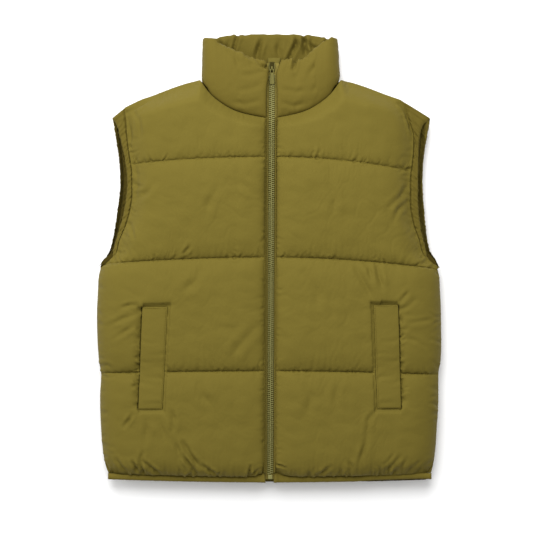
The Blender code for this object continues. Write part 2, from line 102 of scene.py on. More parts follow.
def runAlong(points):
    # how far along a line each of its points lies
    return np.concatenate([[0], np.cumsum(np.linalg.norm(np.diff(points, axis=0), axis=1))])


def pointsAt(points, run, at):
    # places on a line, at distances along it
    return np.stack([np.interp(at, run, column) for column in points.T], -1)


def readCurve(table, at, column):
    # smooth curve through one column of a table, read at one place or many
    xs = np.array([row[0] for row in table], float)
    ys = np.array([row[column] for row in table], float)
    steps = np.diff(ys) / np.diff(xs)
    slopes = np.concatenate([steps[:1], (steps[1:] + steps[:-1]) / 2, steps[-1:]])
    slopes[1:-1][steps[1:] * steps[:-1] <= 0] = 0
    at = np.clip(at, xs[0], xs[-1])
    k = np.clip(np.searchsorted(xs, at) - 1, 0, len(xs) - 2)
    width = xs[k + 1] - xs[k]
    t = (at - xs[k]) / width
    return ((1 + 2 * t) * (1 - t) ** 2 * ys[k] + t * (1 - t) ** 2 * width * slopes[k]
            + t * t * (3 - 2 * t) * ys[k + 1] - t * t * (1 - t) * width * slopes[k + 1])


def soften(table, spacing=2.0, passes=60):
    # the same table with rows close together and its corners eased
    at = np.arange(table[0][0], table[-1][0] + 0.01, spacing)
    columns = [at]
    for column in range(1, len(table[0])):
        y = readCurve(table, at, column)
        for _ in range(passes):
            y[1:-1] = (y[:-2] + 2 * y[1:-1] + y[2:]) / 4
        columns.append(y)
    return np.stack(columns, -1)


def sideColumn(side):
    return 1 if side == "right" else 2


neckLine = soften(neck)


def zipX(y):
    share = (y - body["zipHemY"]) / (body["zipTopY"] - body["zipHemY"])
    return blend(body["zipAtHem"], body["zipAtTop"], share)


def quiltY(line, x):
    drop = np.where(np.asarray(x) < 0, line["right"], line["left"])
    return line["y"] - drop * (x / body["quiltSpan"]) ** 2


def frontEdge(side, y):
    below = readCurve(sideSeam, y, sideColumn(side))
    above = readCurve(armholeSeam, y, sideColumn(side))
    return np.where(np.asarray(y) < armholeSeam[0][0], below, above)


def backEdge(side, y):
    column = sideColumn(side)
    wider = readCurve(armholeEdge, y, column + 2) - readCurve(armholeEdge, y, column)
    return frontEdge(side, y) + np.where(np.asarray(y) < armholeSeam[0][0], 0, wider)


def lineEnd(line, side, edge):
    y = line["y"]
    for _ in range(6):
        x = sides[side] * float(edge(side, y))
        y = float(quiltY(line, x))
    return x, y


def shoulderEnd(side):
    x = shoulder[-1][0]
    for _ in range(10):
        y = readCurve(shoulder, x, 1)
        x = 0.5 * (x + readCurve(armholeSeam, y, sideColumn(side)))
    return float(x)


def clustered(count, pull):
    # shares from 0 to 1 that crowd towards both ends
    s = np.linspace(0, 1, count)
    return s * (1 - pull) + pull * (0.5 - 0.5 * np.cos(math.pi * s))


def spread(count, width, peaks):
    # shares from 0 to 1 that crowd where the peaks are: each a place, its reach and its weight
    x = np.linspace(0, width, 2000)
    density = np.ones_like(x)
    for place, reach, weight in peaks:
        density += weight * np.exp(-((x - place) / reach) ** 4)
    total = np.cumsum(density)
    total = (total - total[0]) / (total[-1] - total[0])
    return np.interp(np.linspace(0, 1, count), total, x / width)


def wander(at, wavelengths, seed):
    # uneven waves about zero along a line, seldom more than one
    waves = np.random.default_rng(seed)
    total = np.zeros(np.shape(at))
    for wavelength in wavelengths:
        wavelength, phase = wavelength * waves.uniform(0.85, 1.15), waves.uniform(0, 6.28)
        total += np.sin(at * 6.283 / wavelength + phase)
    return total / len(wavelengths) ** 0.7


def rolling(plan, wavelengths, seed):
    # uneven ground over a plan, seldom more than one: each wavelength runs several ways at once
    waves = np.random.default_rng(seed)
    total = np.zeros(plan.shape[:-1])
    ways = 5
    for wavelength in wavelengths:
        for way in range(ways):
            turn = (way + waves.uniform(-0.4, 0.4)) * math.pi / ways
            along = plan[..., 0] * math.cos(turn) + plan[..., 1] * math.sin(turn)
            pitch = wavelength * waves.uniform(0.8, 1.25)
            total += np.sin(along * 6.283 / pitch + waves.uniform(0, 6.28))
    return total / (ways * len(wavelengths)) ** 0.6


def crumpled(plan, wavelengths, seed, sharp=0.4):
    # winding folds over a plan, in patches: narrow troughs in nearly level ground
    ground = rolling(plan, wavelengths, seed)
    patches = np.clip(0.55 + 0.8 * rolling(plan, (150.0, 95.0), seed + 1), 0, 1.2)
    return patches * (0.3 - bell(ground, sharp))


def panelPlan(side, columns, innerX, edge, neckColumn, rowCounts, crowd):
    # plan points of one front or half a back, row by row from the hem, and each row's share
    sign = sides[side]

    def lineCurve(line):
        start, (end, _) = innerX(line["y"]), lineEnd(line, side, edge)
        x = blend(start, end, columns)
        return np.stack([x, quiltY(line, x)], -1)

    start, corner, share = abs(innerX(neck[0][1])), shoulder[0][0], body["neckShare"]
    x = np.where(columns <= share, blend(start, corner, columns / share),
                 blend(corner, shoulderEnd(side), (columns - share) / (1 - share)))
    y = np.where(columns <= share, readCurve(neckLine, x, neckColumn), readCurve(shoulder, x, 1))
    curves = [lineCurve(line) for line in quiltLines] + [np.stack([sign * x, y], -1)]
    grid, baffle, shares = [], [], []
    for k, count in enumerate(rowCounts):
        foot, head = curves[k], curves[k + 1]
        v = clustered(count + 1, crowd)
        v = v if k == len(rowCounts) - 1 else v[:-1]
        inner = blend(foot[0], head[0], v[:, None])
        outerY = blend(foot[-1, 1], head[-1, 1], v)
        outer = np.stack([sign * edge(side, outerY), outerY], -1)
        u, w = columns[None, :, None], v[:, None, None]
        corners = blend(blend(foot[0], foot[-1], u), blend(head[0], head[-1], u), w)
        grid.append(blend(foot, head, w) + blend(inner[:, None], outer[:, None], u) - corners)
        baffle += [k] * len(v)
        shares += list(v)
    return np.concatenate(grid), np.array(baffle), np.array(shares)


# cloth: each padded piece swells against its seams, with a little more cloth than seam

def gridNormals(points):
    across, along = np.gradient(points, axis=1), np.gradient(points, axis=0)
    normal = np.cross(across, along)
    return normal / (np.linalg.norm(normal, axis=-1, keepdims=True) + 1e-9)


def clothLinks(points, down, across, slack, stiffness):
    # springs between points some steps apart, in two batches that share no point
    rows, columns = points.shape[:2]
    index = np.arange(rows * columns).reshape(rows, columns)
    near = index[:rows - down, max(0, -across):columns - max(0, across)]
    turn = (near // columns // down if down else near % columns // across) % 2
    flat, spare = points.reshape(-1, 3), slack.reshape(-1)
    links = []
    for batch in (0, 1):
        a = near[turn == batch]
        b = a + down * columns + across
        rest = np.linalg.norm(flat[b] - flat[a], axis=1) * (1 + (spare[a] + spare[b]) / 2)
        links.append((a, b, rest, stiffness))
    return links


def settleCloth(points, held, slackAcross, slackAlong, push, steps, outward=1, floor=None,
                keep=0.002, bend=0.2):
    # lets the cloth swell and pucker between its seams, then gives its new points
    shape = points.shape
    both = (slackAcross + slackAlong) / 2
    links = clothLinks(points, 0, 1, slackAcross, 1.0) + clothLinks(points, 1, 0, slackAlong, 1.0)
    links += clothLinks(points, 1, 1, both, 0.6) + clothLinks(points, 1, -1, both, 0.6)
    links += clothLinks(points, 0, 2, slackAcross, bend) + clothLinks(points, 2, 0, slackAlong, bend)
    first = points.reshape(-1, 3)
    free = np.where(held.reshape(-1), 0.0, 1.0)
    now, before = first.copy(), first.copy()
    for _ in range(steps):
        speed = (now - before) * 0.9
        before = now.copy()
        lift = gridNormals(now.reshape(shape)).reshape(-1, 3) * push * outward
        now = now + (speed + lift + (first - now) * keep) * free[:, None]
        for a, b, rest, stiffness in links:
            gap = now[b] - now[a]
            length = np.sqrt((gap * gap).sum(1)) + 1e-9
            weight = free[a] + free[b]
            pull = stiffness * (length - rest) / (length * np.maximum(weight, 1))
            now[a] += gap * (pull * free[a])[:, None]
            now[b] -= gap * (pull * free[b])[:, None]
        if floor is not None:
            now[:, 2] = np.maximum(now[:, 2], floor)
    return now.reshape(shape)


def easeGrid(points, held, passes=1, amount=0.35):
    # softens the finest ripples
    for _ in range(passes):
        mean = points.copy()
        mean[1:-1, 1:-1] = (points[2:, 1:-1] + points[:-2, 1:-1] + points[1:-1, 2:]
                            + points[1:-1, :-2]) / 4
        points = np.where(held[..., None], points, blend(points, mean, amount))
    return points


def addCreases(points, creases, where, outward):
    # presses folds into the cloth: each a narrow trough between two low ridges, given by its route,
    # depth and width; one marked True starts at a seam and fades away from it, and any other fades
    # at both ends
    normal = gridNormals(points) * outward
    offset = np.zeros(points.shape[:2])
    for route, depth, width, *fromSeam in creases:
        route = np.array(route, float)
        route = pointsAt(route, range(len(route)), np.linspace(0, len(route) - 1, 24))
        for _ in range(3):
            route[1:-1] = (route[2:] + route[:-2] + 2 * route[1:-1]) / 4
        low, high = route.min(0) - 4 * width, route.max(0) + 4 * width
        near = np.all((points[..., :2] > low) & (points[..., :2] < high), axis=-1) & where
        if not near.any():
            continue
        gaps = np.linalg.norm(points[near][:, None, :2] - route[None], axis=-1)
        away = gaps.min(1) / width
        along = gaps.argmin(1) / (len(route) - 1)
        if fromSeam:
            ends = np.cos(along * math.pi / 2) ** 0.8
        else:
            ends = np.sin(math.pi * np.clip(along * 0.94 + 0.03, 0, 1)) ** 0.6
        ends = ends * (1 + 0.25 * np.sin(along * 9 + depth * 5))
        trough = -np.exp(-away ** 1.5 * 1.2) + 0.45 * bell(away - 2.0, 1.0)
        offset[near] += depth * ends * trough
    return points + normal * offset[..., None]


def tucks(seam, inward, spacing, length, depth, width, seed):
    # short creases that start along a seam, bunched and deep here, sparse and faint there
    waves = np.random.default_rng(seed)
    run = runAlong(seam)
    at, creases = waves.uniform(2, spacing), []
    while at < run[-1] - 2:
        start = pointsAt(seam, run, at)
        bunched = float(np.clip(0.5 + 0.6 * wander(at, (70.0, 120.0, 45.0), seed + 50), 0.1, 1.2))
        reach = length * waves.uniform(0.3, 1.0) ** 1.4
        lean, bend = waves.uniform(-0.55, 0.55), waves.uniform(-0.25, 0.25)
        way = np.array([inward[0] - lean * inward[1], inward[1] + lean * inward[0]])
        aside = np.array([-way[1], way[0]])
        route = [start, start + way * reach / 2 + aside * reach * bend, start + way * reach]
        creases.append((route, depth * bunched * waves.uniform(0.4, 1.0),
                        width * waves.uniform(0.7, 1.5), True))
        at += spacing * waves.uniform(0.35, 1.1) * (2.2 if waves.uniform() > 0.75 else 1.0)
    return creases


# meshes

def newPiece(name, points, faces, material, stands=()):
    mesh = bpy.data.meshes.new(name)
    mesh.from_pydata((np.asarray(points) * mm).tolist(), [], faces)
    mesh.validate()
    bm = bmesh.new()
    bm.from_mesh(mesh)
    bmesh.ops.recalc_face_normals(bm, faces=bm.faces[:])
    bm.to_mesh(mesh)
    bm.free()
    return finishPiece(name, mesh, material, stands=stands)


def finishPiece(name, mesh, material, ridesOn="vest", stands=()):
    mesh.shade_smooth()
    mesh.set_sharp_from_angle(angle=math.radians(60))
    materials = material if isinstance(material, (list, tuple)) else [material]
    for each in materials:
        mesh.materials.append(each)
    piece = bpy.data.objects.new(name, mesh)
    bpy.context.scene.collection.objects.link(piece)
    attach(piece, ridesOn)
    if stands:
        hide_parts(*stands)
    return piece


def gridFaces(rows, columns, start=0):
    index = np.arange(rows * columns).reshape(rows, columns) + start
    quads = np.stack([index[:-1, :-1], index[:-1, 1:], index[1:, 1:], index[1:, :-1]], -1)
    return quads.reshape(-1, 4).tolist()


def rimOf(rows, columns):
    index = np.arange(rows * columns).reshape(rows, columns)
    return np.concatenate([index[0], index[1:, -1], index[-1, -2::-1], index[-2:0:-1, 0]])


def closedPanel(name, top, bottom, material, stands=(), coarse=1):
    # a padded panel: its shell's grid, its coarser lining's grid, and a wall round their rims
    rows, columns = top.shape[:2]
    count = rows * columns
    bottom = bottom[::coarse, ::coarse]
    faces = gridFaces(rows, columns) + gridFaces(*bottom.shape[:2], count)
    rim, under = rimOf(rows, columns), rimOf(*bottom.shape[:2]) + count
    for k in range(len(under)):
        fine = [int(rim[(k * coarse + n) % len(rim)]) for n in range(coarse, -1, -1)]
        faces.append(fine + [int(under[k]), int(under[(k + 1) % len(under)])])
    points = np.concatenate([top.reshape(-1, 3), bottom.reshape(-1, 3)])
    return newPiece(name, points, faces, material, stands)


def ringPiece(name, rings, material, stands=()):
    # a closed piece from rings of points, each ring folded flat at the two ends
    count, size = rings.shape[:2]
    index = np.arange(count * size).reshape(count, size)
    following = np.roll(index, -1, axis=1)
    quads = np.stack([index[:-1], following[:-1], following[1:], index[1:]], -1)
    faces = quads.reshape(-1, 4).tolist()
    for ring in (index[0], index[-1]):
        for k in range(size // 2 - 1):
            faces.append([int(ring[n]) for n in (k, k + 1, size - 2 - k, size - 1 - k)])
    return newPiece(name, rings.reshape(-1, 3), faces, material, stands)


def ovalRing(half, thick, steps, power=0.5):
    # across and up for a flat strip's section, from its left edge over the top and back below
    angle = np.linspace(math.pi, -math.pi, 2 * steps, endpoint=False) - math.pi / (2 * steps)
    across = np.sign(np.cos(angle)) * np.abs(np.cos(angle)) ** power * half
    up = np.sign(np.sin(angle)) * np.abs(np.sin(angle)) ** power * thick / 2
    return across, up


# materials

class Wire:
    # a shader socket that can be used in sums
    def __init__(self, graph, socket):
        self.graph, self.socket = graph, socket

    def maths(self, operation, a, b):
        return self.graph.add("ShaderNodeMath", {"operation": operation}, {0: a, 1: b})["Value"]

    def __add__(self, other):
        return self.maths("ADD", self, other)

    def __mul__(self, other):
        return self.maths("MULTIPLY", self, other)

    __radd__, __rmul__ = __add__, __mul__


class Graph:
    # one material's nodes
    def __init__(self, name):
        self.material = bpy.data.materials.new(name)
        self.material.use_nodes = True
        self.tree = self.material.node_tree
        self.surface = self.tree.nodes["Principled BSDF"]

    def add(self, kind, settings=None, sockets=None):
        node = self.tree.nodes.new(kind)
        for key, value in (settings or {}).items():
            setattr(node, key, value)
        self.plug(node, sockets or {})
        return {out.name: Wire(self, out) for out in reversed(node.outputs) if out.enabled}

    def plug(self, node, sockets):
        for key, value in sockets.items():
            if isinstance(value, Wire):
                self.tree.links.new(value.socket, node.inputs[key])
            else:
                node.inputs[key].default_value = value

    def finish(self, **sockets):
        self.plug(self.surface, {key.replace("_", " "): value for key, value in sockets.items()})
        return self.material


colourA, colourB = 6, 7  # the two colour sockets of a Mix node
weave = {
    "pitch": 0.55 * mm, "depth": 0.035 * mm, "sheenRoughness": 0.4, "sheenTint": (0.78, 0.68, 0.28, 1),
    "gloss": 0.16, "glossTint": (0.80, 0.68, 0.25, 1),
}
cloths = {
    # two tones, roughness, depth of the fine crinkles and soft shine
    "shellCloth": {"light": (0.123, 0.0962, 0.0169), "dark": (0.106, 0.0825, 0.0139),
                   "roughness": 0.62, "crinkle": 0.55 * mm, "sheen": 0.04},
    "bandCloth": {"light": (0.126, 0.0970, 0.0166), "dark": (0.108, 0.083, 0.0136),
                  "roughness": 0.68, "crinkle": 0.5 * mm, "sheen": 0.05},
    # the shell colour darkened: painted shade on the armhole bands
    "armShadeCloth": {"light": (0.106, 0.0810, 0.0139), "dark": (0.088, 0.0675, 0.0110),
                 "roughness": 0.68, "crinkle": 0.5 * mm, "sheen": 0.05},
    # the shell colour darkened: painted shade over the collar
    "collarShadeCloth": {"light": (0.113, 0.0865, 0.0150), "dark": (0.098, 0.0750, 0.0125),
                    "roughness": 0.64, "crinkle": 0.55 * mm, "sheen": 0.04},
    # the collar colour darkened again: painted shade on the inside of the back collar
    "collarInsideShadeCloth": {"light": (0.108, 0.0830, 0.0143), "dark": (0.083, 0.0635, 0.0105),
                   "roughness": 0.66, "crinkle": 0.55 * mm, "sheen": 0.03},
    # a darker copy of the shell: painted shade on the back armhole band on the wearer's left
    "shadeCloth": {"light": (0.072, 0.0545, 0.0092), "dark": (0.060, 0.0455, 0.0075),
                   "roughness": 0.7, "crinkle": 0.5 * mm, "sheen": 0.03},
    # a dark lining colour that also paints the shade in the armhole gaps and under the front hem band
    "liningAndShadeCloth": {"light": (0.045, 0.033, 0.0050), "dark": (0.040, 0.029, 0.0045),
                    "roughness": 0.75, "crinkle": 0.4 * mm, "sheen": 0.03},
    "guardCloth": {"light": (0.126, 0.102, 0.021), "dark": (0.110, 0.089, 0.018),
                   "roughness": 0.68, "crinkle": 0.3 * mm, "sheen": 0.05},
}
plastics = {
    # colour, second colour for wear and, on the slider, for painted highlight flecks; roughness and gloss
    "thread": ((0.080, 0.059, 0.0075), (0.098, 0.073, 0.0095), 0.8, 0.35),
    "quiltThread": ((0.104, 0.080, 0.0125), (0.116, 0.090, 0.0145), 0.8, 0.35),
    "zipThread": ((0.050, 0.037, 0.006), (0.064, 0.048, 0.008), 0.8, 0.1),
    "teethPlastic": ((0.220, 0.208, 0.068), (0.270, 0.256, 0.092), 0.36, 0.35),
    # near black: painted shade over the slider body, with lighter flecks as painted highlights
    "sliderPaintedShade": ((0.012, 0.009, 0.002), (0.060, 0.050, 0.012), 0.7, 0.05),
    "pullEnamel": ((0.125, 0.112, 0.030), (0.150, 0.135, 0.038), 0.5, 0.2),
}


def twoTone(g, share, dark, light):
    return g.add("ShaderNodeMix", {"data_type": "RGBA"},
                 {"Factor": share, colourA: (*dark, 1), colourB: (*light, 1)})["Result"]


def makeCloth(name):
    look = cloths[name]
    g = Graph(name)
    place = g.add("ShaderNodeTexCoord")["Object"]
    patches = g.add("ShaderNodeTexNoise", {}, {"Vector": place, "Scale": 9.0, "Detail": 2.0})
    flecks = g.add("ShaderNodeTexNoise", {}, {"Vector": place, "Scale": 420.0, "Detail": 3.0})
    colour = twoTone(g, patches["Fac"] * 0.75 + flecks["Fac"] * 0.25, look["dark"], look["light"])
    crumple = g.add("ShaderNodeTexNoise", {}, {"Vector": place, "Scale": 62.0, "Detail": 3.0,
                                               "Roughness": 0.5, "Distortion": 0.9})
    threads = {"Vector": place, "Scale": 1 / weave["pitch"] / 2 / 10, "Distortion": 0.4}
    warp = g.add("ShaderNodeTexWave", {"bands_direction": "X"}, threads)
    weft = g.add("ShaderNodeTexWave", {"bands_direction": "Y"}, threads)
    fine = g.add("ShaderNodeBump", {}, {"Strength": 0.35, "Distance": weave["depth"],
                                        "Height": (warp["Fac"] + weft["Fac"]) * 0.5})
    soft = g.add("ShaderNodeBump", {}, {"Strength": 1.0, "Distance": look["crinkle"],
                                        "Height": crumple["Fac"], "Normal": fine["Normal"]})
    return g.finish(Base_Color=colour, Roughness=look["roughness"] + 0.10 * flecks["Fac"],
                    Normal=soft["Normal"], Sheen_Weight=look["sheen"],
                    Sheen_Roughness=weave["sheenRoughness"], Sheen_Tint=weave["sheenTint"],
                    Specular_IOR_Level=weave["gloss"], Specular_Tint=weave["glossTint"])


def makeTapeCloth(name, colour):
    # woven ribs that run across the tape
    g = Graph(name)
    place = g.add("ShaderNodeTexCoord")["Object"]
    ribs = g.add("ShaderNodeTexWave", {"bands_direction": "Y"}, {"Vector": place, "Scale": 160.0,
                                                                  "Distortion": 1.2})
    shade = twoTone(g, ribs["Fac"], tuple(c * 0.75 for c in colour), colour)
    bump = g.add("ShaderNodeBump", {}, {"Strength": 0.6, "Distance": 0.2 * mm, "Height": ribs["Fac"]})
    return g.finish(Base_Color=shade, Roughness=0.85, Normal=bump["Normal"], Specular_IOR_Level=0.1)


def makePlastic(name):
    colour, wearAndHighlight, roughness, gloss = plastics[name]
    g = Graph(name)
    place = g.add("ShaderNodeTexCoord")["Object"]
    # mottling: scuffs on most plastics, painted highlight flecks on the slider
    scuffsAndHighlights = g.add("ShaderNodeTexNoise", {}, {"Vector": place, "Scale": 300.0, "Detail": 4.0})
    shade = twoTone(g, scuffsAndHighlights["Fac"], colour, wearAndHighlight)
    bump = g.add("ShaderNodeBump", {}, {"Strength": 0.4, "Distance": 0.05 * mm,
                                        "Height": scuffsAndHighlights["Fac"]})
    return g.finish(Base_Color=shade, Roughness=roughness + 0.15 * scuffsAndHighlights["Fac"],
                    Normal=bump["Normal"], Specular_IOR_Level=gloss,
                    Specular_Tint=(0.85, 0.80, 0.45, 1))


print("materials")
shell = makeCloth("shellCloth")
bandCloth = makeCloth("bandCloth")
armShadeCloth = makeCloth("armShadeCloth")
collarShadeCloth = makeCloth("collarShadeCloth")
collarInsideShadeCloth = makeCloth("collarInsideShadeCloth")
shadeCloth = makeCloth("shadeCloth")
liningAndShadeCloth = makeCloth("liningAndShadeCloth")
guardCloth = makeCloth("guardCloth")
thread = makePlastic("thread")
quiltThread = makePlastic("quiltThread")
zipThread = makePlastic("zipThread")
# the tape's olive lifted well above the shell's: painted light in the shaded channel between the zip's
# lips
tape = makeTapeCloth("zipTapePaintedLight", (0.205, 0.164, 0.034))
teethPlastic = makePlastic("teethPlastic")
sliderPaintedShade = makePlastic("sliderPaintedShade")
pullEnamel = makePlastic("pullEnamel")

# fronts

fronts = {
    "seamZ": 47.0, "sideSeamZ": 28.0, "armSeamZ": 33.5, "neckSeamZ": 41.0, "hemSeamZ": 40.5,
    "seamInset": 1.5, "lifts": (11.8, 12.2, 9.4, 5.6),  # how far each baffle rises above its seams
    "lineLift": (0.0, 1.8, 2.8, 7.0, 6.4),  # how much shallower each quilt line is than the hem seam
    "lineHang": (0.6, 0.5, 0.45, 0.15), "shoulderDrop": 0.3, "hemFall": 0.2, "width": 292.0,
    "lipWidth": 2.6, "lipZ": 49.0, "lipFall": 2.2, "stitchZ": 49.8, "zipReach": 16.0, "tapeCover": 7.5,
    "zipGap": {"right": 8.2, "left": 5.9}, "zipFill": 0.6, "zipSpan": 44.0,
    "sideReach": {"right": 58.0, "left": 70.0}, "sideSlope": 0.45,
    "armReach": 34.0, "columns": 194, "rowCounts": (100, 104, 94, 62), "liningStep": 3, "crowd": 0.6,
    "lumps": 0.6, "crumple": 0.4, "fineCrumple": 0.24, "puckers": 1.0, "puckerReach": 7.5,
    "seamWiggle": 0.7, "overhangReach": 4.0, "hemReach": 6.0, "mouthLean": 1.2, "mouthDip": 6.0,
    "slackAcross": 0.005, "slackAlong": 0.005, "seamSlack": 0.014, "push": 0.0015, "steps": 220,
}
welts = {
    "right": {"innerTop": 178.7, "outerTop": 222.0, "innerFoot": 187.6, "outerFoot": 229.0,
              "topY": -86.6, "footY": -264.5},
    "left": {"innerTop": 178.7, "outerTop": 221.0, "innerFoot": 185.0, "outerFoot": 226.0,
             "topY": -83.5, "footY": -263.0},
}
weltCreases = [
    # across from the inner edge and up from the foot, as shares, of each end of a soft fold
    ((0.15, 0.40), (0.95, 0.47), 1.1), ((0.05, 0.29), (0.70, 0.36), 1.3),
    ((0.25, 0.20), (0.98, 0.27), 1.0), ((0.55, 0.62), (0.98, 0.68), 0.8),
    ((0.10, 0.04), (0.55, 0.10), 1.0), ((0.02, 0.55), (0.35, 0.52), 0.7),
]
weltStrip = {
    "z": 56.0, "hip": 0.36, "hipDip": 4.0, "thick": 2.4, "mouth": (0.97, 1.04), "mouthDepth": 5.5,
    "stitchInset": 2.4, "hug": 0.9, "creaseWidth": 3.6, "rings": 96, "steps": 18,
}
hemOverhang = {
    # how far the filling hangs over the hem band: x out from the zip, millimetres
    "right": [(0, -1.0), (22, -0.5), (45, 3.0), (85, 1.2), (135, 0.0), (158, 2.2), (170, 0.5),
              (215, -2.0), (300, -1.0)],
    "left": [(0, -1.0), (25, -0.5), (50, 0.8), (80, 0.8), (120, -0.2), (148, 2.8), (170, -0.5),
             (214, -4.0), (262, -3.6), (300, -1.0)],
}
hemTurn = {"rise": 8.5, "start": 9.0, "reach": 15.0}
frontTucks = {
    # the small creases along each seam: spacing, length, depth and width
    "hem": (9.0, 24.0, 3.3, 2.6), "aboveLine": (10.0, 20.0, 2.0, 2.2),
    "belowLine": (30.0, 60.0, 0.6, 5.0), "shoulder": (17.0, 26.0, 1.2, 2.8),
    "armhole": (10.0, 30.0, 2.2, 2.8), "side": (15.0, 30.0, 2.0, 3.0), "zip": (12.0, 16.0, 1.3, 2.4),
    "mouth": (7.0, 18.0, 2.6, 2.2),
}
frontCreases = {
    "right": [
        ([(-221, -379), (-226, -358), (-220, -334)], 3.8, 3.6, True),
        ([(-151, -322), (-138, -345), (-124, -363)], 4.1, 3.8),
        ([(-151, -344), (-140, -360), (-127, -379)], 4.8, 3.2),
        ([(-117, -362), (-106, -371), (-92, -380)], 4.1, 3.1),
        ([(-240, -355), (-234, -366), (-226, -377)], 3.8, 2.9),
        ([(-220, -355), (-205, -368), (-191, -379)], 4.1, 3.1),
        ([(-268, -352), (-258, -366), (-250, -376)], 2.9, 3.1),
        ([(-254, -295), (-246, -284), (-239, -273)], 3.2, 3.0),
        ([(-172, -266), (-167, -280), (-169, -300)], 2.2, 4.0),
        ([(-216, -280), (-214, -300), (-216, -322)], 2.0, 5.0),
        ([(-194, -276), (-188, -296), (-180, -318)], 1.8, 5.0),
        ([(-165, -320), (-160, -334), (-158, -352)], 2.2, 3.8),
        ([(-66, -174), (-56, -156), (-44, -142), (-24, -121)], 2.4, 7.0),
        ([(-283, -120), (-253, -106), (-228, -98)], 2.1, 3.8),
        ([(-272, -142), (-250, -128), (-236, -119)], 1.9, 3.6),
        ([(-262, -90), (-246, -84), (-230, -82)], 2.0, 3.0),
        ([(-34, -362), (-36, -372), (-38, -381)], 4.1, 2.2),
        ([(-22, -370), (-30, -377), (-40, -382)], 3.4, 2.0),
        ([(-209, 274), (-223, 268), (-241, 257), (-254, 250)], 2.2, 3.2),
        ([(-236, 100), (-214, 112), (-200, 130)], 2.0, 5.0),
        ([(-150, 6), (-144, 12), (-140, 20)], 3.0, 2.8),
        ([(-92, 118), (-106, 96), (-112, 70)], 1.8, 6.0),
        ([(-120, -20), (-132, -44), (-160, -66)], 1.8, 6.5),
        ([(-58, 150), (-50, 128), (-30, 110)], 1.5, 6.0),
        ([(-126, -214), (-118, -240), (-96, -262)], 1.6, 7.0),
        ([(-263, 231), (-260, 205), (-253, 184)], 1.8, 2.6),
        ([(-249, 243), (-244, 213), (-247, 187)], 2.0, 3.0),
        ([(-240, 256), (-228, 236), (-226, 206)], 1.6, 3.4),
        ([(-236, 160), (-232, 130), (-236, 100)], 1.4, 3.4),
        ([(-248, 62), (-240, 44), (-236, 24)], 1.8, 3.0),
    ],
    "left": [
        ([(146, -16), (160, -42), (178, -74)], 2.8, 5.0),
        ([(184, -14), (188, -34), (194, -54)], 2.8, 4.4),
        ([(168, -12), (172, -26), (174, -40)], 2.0, 3.6),
        ([(222, -80), (232, -68), (240, -60)], 1.6, 3.2),
        ([(226, -92), (240, -84), (252, -72)], 1.1, 3.4),
        ([(240, -115), (258, -112), (280, -109)], 1.4, 3.6),
        ([(236, -140), (254, -146), (270, -156)], 1.1, 3.6),
        ([(186, -262), (170, -280), (165, -312)], 1.7, 4.0),
        ([(170, -300), (163, -330), (158, -374)], 1.6, 5.2),
        ([(166, -316), (159, -340), (152, -360)], 2.0, 3.5),
        ([(225, -345), (210, -362), (197, -374)], 1.6, 3.4),
        ([(237, -350), (228, -364), (220, -375)], 1.1, 3.3),
        ([(262, -352), (250, -364), (240, -373)], 1.1, 3.3),
        ([(213, -340), (206, -352), (196, -360)], 1.0, 3.1),
        ([(104, -363), (94, -373), (80, -381)], 3.0, 3.2),
        ([(133, -352), (140, -364), (136, -380)], 2.3, 3.5),
        ([(10, -361), (17, -362), (26, -366)], 3.4, 1.9),
        ([(224, 270), (235, 258), (240, 244), (244, 229), (251, 207)], 4.0, 3.0),
        ([(236, 262), (246, 254), (252, 250)], 2.5, 2.6),
        ([(240, 128), (226, 104), (204, 86)], 2.2, 4.4),
        ([(236, 96), (222, 82), (212, 60)], 2.0, 4.0),
        ([(100, 130), (112, 100), (108, 72)], 1.6, 6.0),
        ([(60, -30), (80, -60), (84, -96)], 1.6, 7.0),
        ([(58, -216), (70, -244), (62, -276)], 1.6, 7.0),
        ([(120, -214), (112, -238), (116, -262)], 1.8, 5.5),
    ],
}


def swell(share):
    # height of a filled baffle, a share of the way across it
    return (1 - np.abs(2 * np.clip(share, 0, 1) - 1) ** 4.6) ** 0.6


def hemRise(x):
    # how far the hem seam turns up towards the zip
    past = np.maximum(np.abs(x) - hemTurn["start"], 0) / hemTurn["reach"]
    return hemTurn["rise"] * np.exp(-past ** 1.4)


def swellFrom(away, reach):
    return swell(np.clip(away / reach, 0, 1) / 2)


def slopeFrom(away, reach):
    # a gentler rise, for an edge that lies on another piece
    return np.sin(np.clip(away / reach, 0, 1) * math.pi / 2) ** 0.9


def sewnEdge(edge):
    # an edge of the body, drawn in where the filling on each side of its seam bulges past it
    def inset(side, y):
        return edge(side, y) - fronts["seamInset"] * (np.asarray(y) < armholeSeam[0][0])
    return inset


def weltEdges(size, up):
    # how far out a welt's two long edges are, at a share of the way up it
    return (blend(size["innerFoot"], size["innerTop"], up),
            blend(size["outerFoot"], size["outerTop"], up))


def weltShares(side, x, y):
    # place on a pocket welt: across from its inner edge, and up from its foot
    size = welts[side]
    up = (y - size["footY"]) / (size["topY"] - size["footY"])
    inner, outer = weltEdges(size, up)
    return (np.abs(x) - inner) / (outer - inner), up


def weltZ(up):
    # a welt bridges the quilt line below it with a shallow dip, and sinks at its ends
    dip = weltStrip["hipDip"] * bell(up - weltStrip["hip"], 0.15)
    return weltStrip["z"] - dip - 1.5 * np.abs(2 * up - 1) ** 5


def seamDistance(plan, baffle, shares):
    # about how many millimetres each point is from the nearer quilt line of its baffle
    heights = np.array([160.0 + 20 * np.cos(k) for k in range(4)])  # lower towards the shoulder
    return np.minimum(shares, 1 - shares)[:, None] * np.ones(plan.shape[1]) * heights[baffle][:, None]


